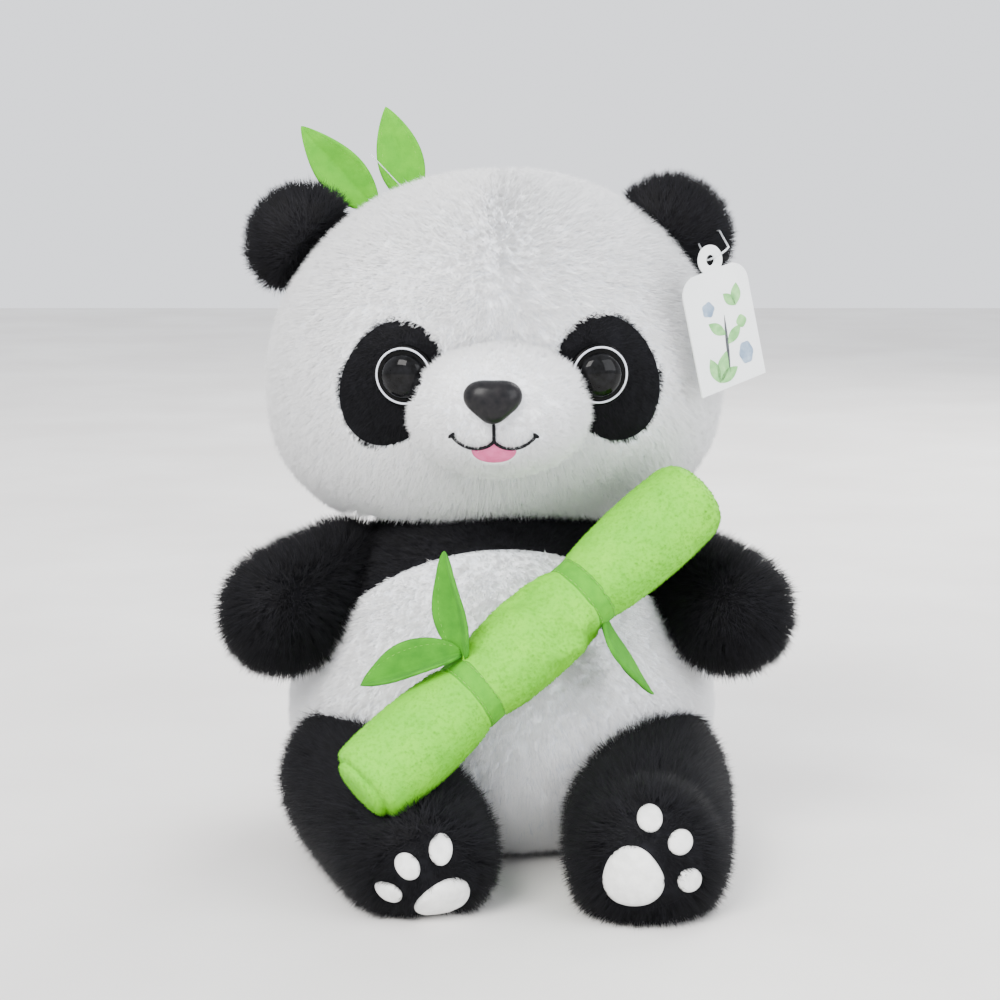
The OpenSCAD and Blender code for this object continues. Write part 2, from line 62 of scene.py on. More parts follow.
# Each fur's finish, length of pile, strands on a square millimetre, seed and way of lying
FURS = {
    "head": dict(slot="white_plush", pile=5.6 * MM, per_mm2=3.4, seed=11, lean=0.58, tangle=0.15, stray=0.09),
    "eye_patch": dict(slot="black_plush", pile=3.4 * MM, per_mm2=4.4, seed=21, lean=0.55, width=0.34 * MM),
    "muzzle": dict(slot="white_plush", pile=3.0 * MM, per_mm2=5.5, seed=31, lean=0.62, width=0.34 * MM,
                   clump=6, clump_r=0.8 * MM),
    "stalk": dict(slot="bamboo_plush", pile=1.1 * MM, per_mm2=5.0, seed=41, lean=0.85, width=0.30 * MM,
                  clump=5, clump_r=0.5 * MM),
    "ear": dict(slot="black_plush", pile=6.0 * MM, per_mm2=3.4, seed=51, lean=0.5),
    "belly": dict(slot="white_plush", pile=4.6 * MM, per_mm2=2.8, seed=61, lean=0.62, tangle=0.15, stray=0.09),
    "yoke": dict(slot="black_plush", pile=4.6 * MM, per_mm2=2.8, seed=71, lean=0.5),
    "arm": dict(slot="black_plush", pile=7.5 * MM, per_mm2=2.8, seed=81),
    "leg": dict(slot="black_plush", pile=7.5 * MM, per_mm2=2.8, seed=91),
    "tail": dict(slot="black_plush", pile=6.5 * MM, per_mm2=2.8, seed=99)}
SOLE_PILE_SHARE = 3.8 / 7.5
MAX_STRANDS = 45000

# The curved edge between the white belly and the black yoke, a circle seen from the front
YOKE_EDGE_R = 89.8 * MM
YOKE_EDGE_Z = 37.2 * MM

# Under the arms the yoke stops at this height
YOKE_LOWEST = 74 * MM

PATCH_LEAN_DEG = 23
PATCH_HALF = np.array((20, 26.5)) * MM
HEAD_ROLL_DEG = 1.5
EYE_R = 11.4 * MM
MUZZLE_OVERLAP = -2 * MM
SOLE_R = 18.6 * MM

# How far the cloth simulation may move a skin, and how far skins then stay from each other and from the floor
SKIN_SWELL, STALK_SWELL = 1.2 * MM, 2.4 * MM
HEAD_GAP, LIMB_GAP, TAIL_GAP, FLOOR_GAP = 1 * MM, 0.8 * MM, 0.3 * MM, 0.3 * MM

# How much fuller each limb is than its rigid CAD form, about its joint, and how far it then moves
LIMB_GROWTH = {"right_ear": (1.10, 1.10, 1.10), "left_ear": (1.17, 1.17, 1.17), "right_arm": (1.07, 1.07, 1.08),
               "left_arm": (1.07, 1.07, 1.07), "right_leg": (1.12, 1.12, 1.14), "left_leg": (1.14, 1.08, 1.22)}
LIMB_SHIFT = {"right_ear": (0.5 * MM, 0, -2.5 * MM), "left_ear": (-7 * MM, 0, -4.5 * MM),
              "right_leg": (-2.6 * MM, 0, 2.6 * MM), "left_leg": (-1 * MM, 0, 1 * MM)}

# How far each band of the stalk has slid from its CAD place
BAND_SLIP = (-5 * MM, -1 * MM)

# Each leaf's fold and curl, its width against its CAD form, how much of it is hidden at its root, and its twist
LEAVES = {
    "head_leaf_outer": dict(fold=0.25, curl=-0.06, wider=1.3, root=4 * MM, twist=0.3, thickness=1.4 * MM),
    "head_leaf_inner": dict(fold=0.30, curl=0.04, wider=1.2, root=7 * MM, twist=-0.2, thickness=1.4 * MM),
    "bamboo_leaf_up": dict(fold=0.6, curl=0.05, wider=1.35, root=1.5 * MM, twist=0.2),
    "bamboo_leaf_side": dict(fold=0.85, curl=0.06, wider=1.45, root=2 * MM),
    "bamboo_leaf_down": dict(fold=0.40, curl=-0.04, wider=2.2, root=5 * MM)}

# Where the face sits on the filled head, beside its CAD place
EYE_SHIFT = {RIGHT: (2.5 * MM, -0.7 * MM, 1.9 * MM), LEFT: (0.3 * MM, 0, 0.2 * MM)}
PATCH_SHIFT = {RIGHT: (1.6 * MM, 0, 0), LEFT: (0, 0, 0)}


# ---------------------------------------------------------------- materials

def material(name, colour, roughness, **sockets):
    """A Principled material with constant values on the shader's own sockets."""
    mat = bpy.data.materials.new(name)
    mat.use_nodes = True
    shader = mat.node_tree.nodes["Principled BSDF"]
    shader.inputs["Base Color"].default_value = (*colour, 1.0)
    shader.inputs["Roughness"].default_value = roughness
    for socket, value in sockets.items():
        shader.inputs[socket.replace("_", " ")].default_value = value
    mat.diffuse_color = (*colour, 1.0)
    return mat


def mottled(name, dark, light, scale, roughness, bump=0.2, bump_scale=900, stretch=(1, 1, 1), **sockets):
    """A material whose colour drifts between two tones, with a fine bump."""
    mat = material(name, light, roughness, **sockets)
    nodes, links = mat.node_tree.nodes, mat.node_tree.links
    shader = nodes["Principled BSDF"]
    place = nodes.new("ShaderNodeTexCoord")
    mapping = nodes.new("ShaderNodeMapping")
    mapping.inputs["Scale"].default_value = stretch
    links.new(place.outputs["Object"], mapping.inputs["Vector"])
    noise = nodes.new("ShaderNodeTexNoise")
    noise.inputs["Scale"].default_value = scale
    noise.inputs["Detail"].default_value = 6
    links.new(mapping.outputs["Vector"], noise.inputs["Vector"])
    ramp = nodes.new("ShaderNodeValToRGB")
    ramp.color_ramp.elements[0].position = 0.35
    ramp.color_ramp.elements[0].color = (*dark, 1)
    ramp.color_ramp.elements[1].position = 0.68
    ramp.color_ramp.elements[1].color = (*light, 1)
    links.new(noise.outputs["Fac"], ramp.inputs["Fac"])
    links.new(ramp.outputs["Color"], shader.inputs["Base Color"])
    fine = nodes.new("ShaderNodeTexNoise")
    fine.inputs["Scale"].default_value = bump_scale
    fine.inputs["Detail"].default_value = 3
    links.new(mapping.outputs["Vector"], fine.inputs["Vector"])
    height = nodes.new("ShaderNodeBump")
    height.inputs["Strength"].default_value = bump
    height.inputs["Distance"].default_value = 0.4 * MM
    links.new(fine.outputs["Fac"], height.inputs["Height"])
    links.new(height.outputs["Normal"], shader.inputs["Normal"])
    return mat


def tints(name, colours, roughness, **sockets):
    """One plain material for each tint of the strands of a fur."""
    return [material(f"{name}_{i}", c, roughness, **sockets) for i, c in enumerate(colours)]


TINTS = {
    "white_plush": tints("white_pile", [(0.93, 0.935, 0.95), (0.95, 0.955, 0.96), (0.91, 0.92, 0.94),
                                        (0.94, 0.94, 0.94)], 0.8, Sheen_Weight=0.3, Sheen_Roughness=0.5),
    "black_plush": tints("black_pile", [(0.003, 0.003, 0.004), (0.005, 0.005, 0.007), (0.009, 0.009, 0.012),
                                        (0.002, 0.002, 0.003)], 0.7, Sheen_Weight=0.03, Sheen_Roughness=0.4,
                         Specular_IOR_Level=0.18),
    "bamboo_plush": tints("stalk_nap", [(0.155, 0.595, 0.001), (0.17, 0.62, 0.001), (0.15, 0.58, 0.001),
                                        (0.18, 0.64, 0.002)], 0.85)}
WHITE_BACKING = mottled("white_backing", (0.74, 0.77, 0.82), (0.88, 0.89, 0.91), 120, 0.85)
BLACK_BACKING = mottled("black_backing", (0.002, 0.002, 0.003), (0.005, 0.005, 0.007), 120, 0.8,
                        Specular_IOR_Level=0.15)
STALK_CLOTH = mottled("stalk_cloth", (0.13, 0.53, 0.001), (0.18, 0.62, 0.001), 60, 0.85)
BAND_FELT = mottled("band_felt", (0.055, 0.31, 0.001), (0.08, 0.38, 0.001), 260, 0.9, bump=0.5)
LEAF_FELT = mottled("stalk_leaf_felt", (0.028, 0.20, 0.001), (0.045, 0.27, 0.001), 200, 0.9, bump=0.4)
HEAD_LEAF = mottled("head_leaf_felt", (0.06, 0.33, 0.001), (0.09, 0.41, 0.002), 180, 0.9, bump=0.4)
PAD_FELT = mottled("pad_felt", (0.76, 0.76, 0.74), (0.90, 0.90, 0.88), 300, 0.9, bump=0.5)
TONGUE_FELT = mottled("tongue_felt", (0.62, 0.09, 0.24), (0.72, 0.13, 0.32), 300, 0.85, bump=0.5)
THREAD = mottled("black_thread", (0.002, 0.002, 0.003), (0.006, 0.006, 0.008), 900, 0.7, bump=0.6,
                 stretch=(1, 1, 3), Specular_IOR_Level=0.12)
LEAF_STITCH = mottled("leaf_stitch", (0.12, 0.36, 0.02), (0.20, 0.46, 0.05), 600, 0.7)
BATTING = mottled("batting_fibre", (0.72, 0.71, 0.66), (0.88, 0.87, 0.82), 90, 0.95, bump=0.8, bump_scale=300)
PELLETS = mottled("pellet_cloth", (0.42, 0.42, 0.44), (0.62, 0.62, 0.64), 400, 0.7, bump=0.8, bump_scale=400)
EYE_PLASTIC = mottled("eye_plastic", (0.0006, 0.0006, 0.0007), (0.002, 0.002, 0.002), 200, 0.25, bump=0.0,
                      Specular_IOR_Level=0.08)
EYE_IRIS = mottled("eye_iris", (0.002, 0.002, 0.002), (0.008, 0.008, 0.009), 320, 0.05, bump=0.0,
                   Specular_IOR_Level=0.11)
EYE_RING = mottled("eye_ring", (0.60, 0.62, 0.70), (0.72, 0.74, 0.80), 300, 0.3, bump=0.0)
NOSE_PLASTIC = mottled("nose_plastic", (0.006, 0.006, 0.007), (0.012, 0.011, 0.012), 400, 0.30, bump=0.03,
                       Specular_IOR_Level=0.15)
WASHER = mottled("washer_plastic", (0.70, 0.72, 0.75), (0.85, 0.87, 0.90), 200, 0.4, bump=0.05)
NYLON = mottled("clear_nylon", (0.80, 0.83, 0.86), (0.92, 0.94, 0.96), 300, 0.15, bump=0.02,
                Transmission_Weight=0.6)
CARD = mottled("tag_card", (0.82, 0.85, 0.85), (0.90, 0.92, 0.92), 40, 0.35, bump=0.05, Coat_Weight=0.2)
PRINT_GREEN = mottled("print_green", (0.12, 0.40, 0.10), (0.28, 0.62, 0.22), 260, 0.4, bump=0.0)
PRINT_BLUE = mottled("print_blue", (0.16, 0.24, 0.36), (0.34, 0.44, 0.56), 260, 0.4, bump=0.0)
PRINT_DARK = mottled("print_dark", (0.02, 0.02, 0.025), (0.07, 0.08, 0.09), 260, 0.4, bump=0.0)


# ---------------------------------------------------------------- mesh helpers

def add_object(name, mesh, mats):
    obj = bpy.data.objects.new(name, mesh)
    bpy.context.scene.collection.objects.link(obj)
    for mat in (mats if isinstance(mats, list) else [mats]):
        mesh.materials.append(mat)
    return obj


def shade(mesh, smooth=True):
    mesh.polygons.foreach_set("use_smooth", [smooth] * len(mesh.polygons))


def mesh_object(name, verts, faces, mats, smooth=True):
    mesh = bpy.data.meshes.new(name)
    mesh.from_pydata([tuple(v) for v in verts], [], [tuple(f) for f in faces])
    shade(mesh, smooth)
    mesh.update()
    return add_object(name, mesh, mats)


def finished(bm, name, mats):
    """A smooth-shaded object from a bmesh, which it frees."""
    mesh = bpy.data.meshes.new(name)
    bm.to_mesh(mesh)
    bm.free()
    shade(mesh)
    return add_object(name, mesh, mats)


def settle(obj, body, replaces=()):
    """Puts the piece on the CAD body that it rides on, and hides the CAD parts that it stands for."""
    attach(obj, body)
    if replaces:
        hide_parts(*replaces)


def vectors(mesh, attribute):
    """The places or the normals of a mesh's vertices."""
    values = np.empty(len(mesh.vertices) * 3)
    mesh.vertices.foreach_get(attribute, values)
    return values.reshape(-1, 3)


def coordinates(obj):
    return vectors(obj.data, "co")


def node_points(*nodes):
    return np.vstack([coordinates(frame["nodes"][n]) for n in nodes])


def node_centre(node):
    low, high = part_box(node)
    return np.array((low + high) / 2)


def convex_tree(points):
    bm = bmesh.new()
    for p in points:
        bm.verts.new(p)
    bmesh.ops.convex_hull(bm, input=bm.verts)
    tree = BVHTree.FromBMesh(bm)
    bm.free()
    return tree


def unit(v):
    return v / np.maximum(np.linalg.norm(v, axis=-1, keepdims=True), 1e-12)


def from_axis(points, centre, axis):
    """How high places are along an axis, and how far from it."""
    offset = points - centre
    height = offset @ axis
    return height, np.linalg.norm(offset - height[:, None] * axis, axis=1)


def wrapped_skin(name, nodes, mats, level=4, smooth_steps=3):
    """A smooth closed skin over the outer form of CAD nodes: a fine ball shrunk on to their hull."""
    points = node_points(*nodes)
    tree = convex_tree(points)
    centre = Vector((points.min(0) + points.max(0)) / 2)
    bm = bmesh.new()
    bmesh.ops.create_icosphere(bm, subdivisions=level, radius=1)
    for v in bm.verts:
        direction = v.co.normalized()
        hit = tree.ray_cast(centre + direction, -direction)[0]
        v.co = hit if hit is not None else centre
    smooth(bm, smooth_steps)
    return finished(bm, name, mats)


def smooth(bm, steps):
    for _ in range(steps):
        bmesh.ops.smooth_vert(bm, verts=bm.verts, factor=0.5, use_axis_x=True, use_axis_y=True, use_axis_z=True)


def move_to(obj, places):
    obj.data.vertices.foreach_set("co", places.astype(np.float32).ravel())
    obj.data.update()


def subdivide(obj, levels):
    """Catmull-Clark subdivision, applied."""
    mod = obj.modifiers.new("finer", "SUBSURF")
    mod.levels = mod.render_levels = levels
    graph = bpy.context.evaluated_depsgraph_get()
    fine = bpy.data.meshes.new_from_object(obj.evaluated_get(graph))
    obj.modifiers.clear()
    old = obj.data
    obj.data = fine
    bpy.data.meshes.remove(old)
    fine.name = obj.name
    shade(fine)


def fill_out(skins):
    """Blows each sewn skin up by cloth simulation, no further than its cap from the cut shape: {skin: cap}."""
    before = {obj: coordinates(obj) for obj in skins}
    for obj in skins:
        cloth = obj.modifiers.new("filling", "CLOTH")
        cloth.settings.quality = 4
        cloth.settings.mass = 0.2
        cloth.settings.tension_stiffness = cloth.settings.compression_stiffness = 12
        cloth.settings.bending_stiffness = 0.4
        cloth.settings.use_pressure = True
        cloth.settings.uniform_pressure_force = 4
        cloth.settings.effector_weights.gravity = 0
        if "pin" in obj.vertex_groups:
            cloth.settings.vertex_group_mass = "pin"
            cloth.settings.shrink_min = -0.06
    for frame_number in range(1, 21):
        bpy.context.scene.frame_set(frame_number)
    graph = bpy.context.evaluated_depsgraph_get()
    after = {obj: vectors(obj.evaluated_get(graph).to_mesh(), "co") for obj in skins}
    for obj, cap in skins.items():
        obj.modifiers.clear()
        shift = after[obj] - before[obj]
        reach = np.linalg.norm(shift, axis=1)
        move_to(obj, before[obj] + shift * np.minimum(1, cap / np.maximum(reach, 1e-9))[:, None])
    bpy.context.scene.frame_set(1)


def surface_tree(obj):
    return BVHTree.FromPolygons([tuple(v.co) for v in obj.data.vertices],
                                [tuple(p.vertices) for p in obj.data.polygons])


def clear_of(obj, other, gap):
    """Moves what lies in another skin out on to its surface."""
    tree = surface_tree(other)
    places = coordinates(obj)
    for i, place in enumerate(places):
        near, normal, _, distance = tree.find_nearest(Vector(place))
        if distance < 30 * MM and (Vector(place) - near).dot(normal) < gap:
            places[i] = near + normal * gap
    move_to(obj, places)


def apart(tree, points, gap):
    """True where a place is more than gap away from a skin."""
    return np.array([tree.find_nearest(Vector(place))[3] > gap for place in points], bool)


def closed_strip(rings, cap_start, cap_end):
    """Vertices and faces of a closed form through rings of equal length, with a point at each end."""
    count = len(rings[0])
    verts = [cap_start] + [p for ring in rings for p in ring] + [cap_end]
    faces = []
    for i in range(count):
        j = (i + 1) % count
        faces.append((0, 1 + j, 1 + i))
        for k in range(len(rings) - 1):
            a, b = 1 + k * count, 1 + (k + 1) * count
            faces.append((a + i, a + j, b + j, b + i))
        last = 1 + (len(rings) - 1) * count
        faces.append((last + i, last + j, len(verts) - 1))
    return verts, faces


def felt_patch(name, middle, axis, up, outline, thickness, tree, mats, sink=0.6 * MM, segments=72):
    """A sewn-on patch that follows the skin under it. outline(angles) is its radius, from the direction up."""
    axis = unit(np.array(axis, float))
    up = np.array(up, float)
    up = unit(up - (up @ axis) * axis)
    across = np.cross(up, axis)
    angles = np.linspace(0, 2 * math.pi, segments, endpoint=False)
    reach = outline(angles)

    def ring(share, height):
        out = []
        for a, r in zip(angles, reach):
            place = middle + share * r * (math.cos(a) * up + math.sin(a) * across)
            hit = tree.ray_cast(Vector(place + axis * 40 * MM), Vector(-axis))[0]
            base = np.array(hit) if hit is not None else place
            out.append(base + axis * height)
        return out

    shares = [0.25, 0.5, 0.72, 0.86, 0.95, 1.0]
    top = [ring(s, thickness * (1 - 0.55 * s ** 6) * (0.35 if s == 1 else 1)) for s in shares]
    bottom = [ring(s, -sink) for s in (0.99, 0.7, 0.35)]
    crown = np.mean(top[0], 0) + axis * 0.02 * MM
    verts, faces = closed_strip(top + bottom, crown, np.mean(bottom[-1], 0))
    return mesh_object(name, verts, [f[::-1] for f in faces], mats)


def dashes(name, path, normals, dash, gap, radius, mats, turn=0.0):
    """A row of stitches along a path: short round-ended threads, each turned a little off the path."""
    path, normals = np.array(path), np.array(normals)
    steps = np.r_[0, np.cumsum(np.linalg.norm(np.diff(path, axis=0), axis=1))]
    at = lambda m, values: np.array([np.interp(m, steps, values[:, k]) for k in range(3)])
    middles = np.arange(dash / 2, steps[-1], dash + gap)
    round_6 = [2 * math.pi * k / 6 for k in range(6)]
    verts, faces = [], []
    for m in middles:
        place = at(m, path)
        normal = unit(at(m, normals))
        along = unit(at(min(m + 0.3 * MM, steps[-1]), path) - at(max(m - 0.3 * MM, 0), path))
        along = along * math.cos(turn) + np.cross(normal, along) * math.sin(turn)
        side = unit(np.cross(along, normal))
        lift = np.cross(side, along)
        rings = [[place + along * dash * t + radius * r * (math.cos(a) * side + math.sin(a) * lift)
                  for a in round_6]
                 for t, r in ((-0.5, 0.45), (-0.32, 0.9), (0, 1), (0.32, 0.9), (0.5, 0.45))]
        one, its_faces = closed_strip(rings, place - along * dash * 0.56, place + along * dash * 0.56)
        faces += [[len(verts) + i for i in face] for face in its_faces]
        verts += one
    return mesh_object(name, verts, faces, mats)


def components(obj):
    """The separate solids of a mesh, as arrays of points, the largest first."""
    bm = bmesh.new()
    bm.from_mesh(obj.data)
    bmesh.ops.remove_doubles(bm, verts=bm.verts, dist=0.01 * MM)
    left = set(bm.verts)
    groups = []
    while left:
        stack = [left.pop()]
        group = list(stack)
        while stack:
            for edge in stack.pop().link_edges:
                for v in edge.verts:
                    if v in left:
                        left.remove(v)
                        stack.append(v)
                        group.append(v)
        groups.append(np.array([v.co for v in group]))
    bm.free()
    return sorted(groups, key=lambda g: -np.prod(np.sort(np.ptp(g, axis=0))[1:]))


def lathe(name, profile, origin, axis, mats, segments=64):
    """A closed turned form. Its profile is (radius, height), from one end on the axis to the other."""
    turn = Vector(axis).to_track_quat("Z", "Y").to_matrix()
    origin = Vector(origin)
    angles = [2 * math.pi * i / segments for i in range(segments)]
    rings = [[origin + turn @ Vector((r * math.cos(a), r * math.sin(a), h)) for a in angles]
             for r, h in profile[1:-1]]
    ends = [origin + turn @ Vector((0, 0, profile[i][1])) for i in (0, -1)]
    verts, faces = closed_strip(rings, *ends)
    return mesh_object(name, verts, faces, mats)


def disc_frame(node):
    """Centre and outward (forward) axis of a flat round CAD node."""
    points = node_points(node)
    centre = points.mean(0)
    normal = np.linalg.svd(points - centre, full_matrices=False)[2][2]
    return centre, (normal if normal[1] < 0 else -normal)


def drift(points, wavelength, seed):
    """A soft field from -1 to 1 that changes over about one wavelength."""
    rng = np.random.default_rng(seed)
    total = np.zeros(len(points))
    for _ in range(6):
        wave = unit(rng.normal(size=3)) * 2 * math.pi / (wavelength * rng.uniform(0.7, 1.6))
        total += np.sin(points @ wave + rng.uniform(0, 2 * math.pi))
    return total / 3.2


# ---------------------------------------------------------------- fur

def surface_samples(skin, per_mm2, seed, keep=None):
    """Random places on a skin with their normals, where keep(places, normals) is true."""
    mesh = skin.data
    mesh.calc_loop_triangles()
    tri = np.empty(len(mesh.loop_triangles) * 3, int)
    mesh.loop_triangles.foreach_get("vertices", tri)
    tri = tri.reshape(-1, 3)
    co, corner_normals = vectors(mesh, "co"), vectors(mesh, "normal")
    a, b, c = co[tri[:, 0]], co[tri[:, 1]], co[tri[:, 2]]
    area = np.linalg.norm(np.cross(b - a, c - a), axis=1) / 2
    rng = np.random.default_rng(seed)
    count = int(area.sum() * 1e6 * per_mm2)
    pick = np.searchsorted(np.cumsum(area), rng.random(count) * area.sum())
    pick = np.minimum(pick, len(tri) - 1)
    u, v = rng.random(count), rng.random(count)
    flip = u + v > 1
    u[flip], v[flip] = 1 - u[flip], 1 - v[flip]
    w = 1 - u - v
    mix = np.stack([w, u, v], 1)[:, :, None]
    places = (co[tri[pick]] * mix).sum(1)
    normals = unit((corner_normals[tri[pick]] * mix).sum(1))
    if keep is not None:
        wanted = keep(places, normals)
        places, normals = places[wanted], normals[wanted]
    return places, normals, rng


def grow_fur(skin, pile, per_mm2, seed, keep=None, length_of=None, comb=None, press=None, lean=0.38,
             width=0.38 * MM, clump=4, clump_r=1.1 * MM, splay=0.85, tangle=0.28, stray=0.13):
    """Clumps of closed tapered strands on a skin: the corners, the shading normals and the tint of each."""
    centres, normals, rng = surface_samples(skin, per_mm2 / clump, seed, keep)
    count = len(centres)
    factor = np.ones(count) if length_of is None else length_of(centres)
    length = pile * factor * rng.uniform(0.88, 1.08, count)
    down = np.array([0, 0, -1.0]) if comb is None else comb(centres, normals)
    flow = down + tangle * rng.normal(size=(count, 3))
    flow = flow - (flow * normals).sum(1)[:, None] * normals
    flow = unit(flow)
    tip = centres + (normals * math.sqrt(1 - lean * lean) + flow * lean) * length[:, None]
    side = unit(np.cross(normals, rng.normal(size=(count, 3))))
    other = np.cross(normals, side)
    repeat = lambda x: np.repeat(x, clump, 0)
    angle = rng.uniform(0, 2 * math.pi, count * clump)[:, None]
    reach = (clump_r * np.sqrt(rng.random(count * clump)))[:, None]
    offset = reach * (np.cos(angle) * repeat(side) + np.sin(angle) * repeat(other))
    surface_n = repeat(normals)
    roots = repeat(centres) + offset - surface_n * 0.7 * MM
    spread = rng.normal(size=roots.shape) * stray * repeat(length)[:, None]
    tips = repeat(tip) + offset * splay + spread
    short = rng.uniform(0.8, 1.0, len(roots))[:, None]
    tips = roots + (tips - roots) * short
    if press is not None:
        flat = press(tips)
        tips[flat] = roots[flat] + (tips[flat] - roots[flat]) * 0.3
    along = unit(tips - roots)
    first = unit(np.cross(along, surface_n + 0.3 * rng.normal(size=roots.shape)))
    second = np.cross(along, first)
    half = width / 2 * rng.uniform(0.75, 1.2, len(roots))[:, None]
    corners = [roots + half * (math.cos(a) * first + math.sin(a) * second)
               for a in (0, 2 * math.pi / 3, 4 * math.pi / 3)]
    verts = np.stack([*corners, tips], 1)
    verts[:, :, 2] = np.maximum(verts[:, :, 2], 0.1 * MM)
    outward = [unit(c - roots) for c in corners]
    shading = np.stack([unit(surface_n + 0.45 * o) for o in outward] + [unit(surface_n + 0.35 * along)], 1)
    patch = drift(repeat(centres), 9 * MM, seed + 1) + rng.normal(size=len(roots)) * 0.9
    tint = np.digitize(patch, [-0.5, 0.45, 1.1])
    return verts, shading, tint


def fur_piece(name, fur, chosen, tint_mats):
    """One mesh object from some of the strands."""
    verts, shading, tint = (x[chosen] for x in fur)
    n = len(verts)
    mesh = bpy.data.meshes.new(name)
    mesh.vertices.add(4 * n)
    mesh.vertices.foreach_set("co", verts.astype(np.float32).ravel())
    faces = np.array([[0, 1, 3], [1, 2, 3], [2, 0, 3], [2, 1, 0]])
    loops = (np.arange(n)[:, None, None] * 4 + faces).reshape(-1)
    mesh.loops.add(len(loops))
    mesh.loops.foreach_set("vertex_index", loops)
    mesh.polygons.add(4 * n)
    mesh.polygons.foreach_set("loop_start", np.arange(4 * n) * 3)
    mesh.polygons.foreach_set("material_index", np.repeat(tint, 4))
    shade(mesh)
    mesh.update(calc_edges=True)
    mesh.normals_split_custom_set_from_vertices(shading.reshape(-1, 3).astype(np.float32).tolist())
    return add_object(name, mesh, tint_mats)


def plant(name, kind, skin, body, side=0, panels=None, **how):
    """Grows a fur on a skin and puts it on a body, in one piece for each panel or more where a panel is large."""
    recipe = dict(FURS[kind])
    slot = recipe.pop("slot")
    recipe["seed"] += side
    fur = grow_fur(skin, **recipe, **how)
    root = fur[0][:, 0]
    groups = {"": np.ones(len(root), bool)} if panels is None else panels(root)
    for panel, chosen in groups.items():
        which = np.flatnonzero(chosen)
        parts = max(1, math.ceil(len(which) / MAX_STRANDS))
        for i in range(parts):
            label = "_".join(x for x in (name, panel, str(i + 1) if parts > 1 else "") if x)
            settle(fur_piece(label, fur, which[i::parts], TINTS[slot]), body)


# ---------------------------------------------------------------- stage, camera and light

def make_stage():
    bpy.ops.mesh.primitive_plane_add(size=6, location=(0, 0, -0.2 * MM))
    floor = bpy.context.object
    floor.name = "floor"
    floor.data.materials.append(mottled("floor_pale", (0.70, 0.68, 0.66), (0.78, 0.77, 0.75), 6, 0.9, bump=0.1))
    world = bpy.data.worlds.new("studio")
    bpy.context.scene.world = world
    world.use_nodes = True
    world.node_tree.nodes["Background"].inputs["Color"].default_value = (0.93, 0.95, 1.0, 1)
    world.node_tree.nodes["Background"].inputs["Strength"].default_value = 1.65


def area_light(name, place, aim, size, power, colour):
    data = bpy.data.lights.new(name, "AREA")
    data.size, data.energy, data.color = size, power, colour
    light = bpy.data.objects.new(name, data)
    bpy.context.scene.collection.objects.link(light)
    light.location = place
    light.rotation_euler = (Vector(aim) - Vector(place)).to_track_quat("-Z", "Y").to_euler()


def make_lights():
    middle = (0, 0, 0.16)
    area_light("key", (-0.7, -1.3, 1.3), middle, 0.9, 54, (1.0, 0.98, 0.95))
    area_light("fill", (1.3, -0.9, 0.8), middle, 1.2, 23, (0.95, 0.97, 1.0))
    area_light("rim", (0.8, 1.2, 1.1), middle, 1.0, 34, (1.0, 0.99, 0.97))


def make_camera():
    data = bpy.data.cameras.new("camera")
    data.lens = CAMERA_LENS
    data.sensor_width = 36
    camera = bpy.data.objects.new("camera", data)
    bpy.context.scene.collection.objects.link(camera)
    camera.location = CAMERA_AT
    camera.rotation_euler = (math.radians(90 - CAMERA_DOWN_DEG), 0, 0)
    bpy.context.scene.camera = camera


# ---------------------------------------------------------------- places taken from the CAD model

HEAD_LOW, HEAD_HIGH = (np.array(c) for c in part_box("head_cover"))
HEAD_MID = (HEAD_LOW + HEAD_HIGH) / 2
HEAD_HALF = (HEAD_HIGH - HEAD_LOW) / 2
MUZZLE_MID = node_centre("muzzle_cover")
MUZZLE_SEAM_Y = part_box("muzzle_cover")[1].y
STALK_LOW = node_centre("bamboo_lower_end")
STALK_HIGH = node_centre("bamboo_upper_end")
STALK_AXIS = unit(STALK_HIGH - STALK_LOW)
STALK_R = 16 * MM
BAND_W = 9 * MM


def band_place(node):
    return float((node_centre(node) - STALK_LOW) @ STALK_AXIS)


BANDS = ("bamboo_lower_band", "bamboo_upper_band")
BAND_PLACES = [band_place(band) + slip for band, slip in zip(BANDS, BAND_SLIP)]
STALK_FROM = -1.5 * MM
STALK_TO = float(((node_points("bamboo_upper_end") - STALK_LOW) @ STALK_AXIS).max())


# ---------------------------------------------------------------- skins

def head_shape(points):
    """Plush cheeks, the right one fuller: widest below the middle, with a flatter underside than the CAD form."""
    u = (HEAD_MID[2] - points[:, 2]) / HEAD_HALF[2]
    wide = 0.985 + 0.14 * u + np.where(u > 0, 0.10 * u ** 2 + 0.22 * np.abs(u) ** 8, 0)
    wide += np.where(points[:, 0] < HEAD_MID[0], 0.03, 0.01)
    deep = 1 + 0.35 * (wide - 1)
    out = points.copy()
    out[:, 0] = HEAD_MID[0] + (points[:, 0] - HEAD_MID[0]) * wide
    out[:, 1] = HEAD_MID[1] + (points[:, 1] - HEAD_MID[1]) * deep
    out[:, 2] -= np.where(u > 0, 9 * MM * np.clip(u, 0, 1) ** 1.3, 0)
    return out


def sole_frame(side):
    """Centre and outward axis of a sole."""
    centre, axis = disc_frame(f"{SIDE_NAMES[side]}_sole")
    return fuller(f"{SIDE_NAMES[side]}_leg", centre), axis


def sag(points):
    """How much wider than its CAD form the belly is: it sags, most of all to the panda's own right."""
    low = np.exp(-((points[:, 2] - 45 * MM) / (38 * MM)) ** 2)
    return 1 + np.where(points[:, 0] < 0, 0.055, 0.012) * low


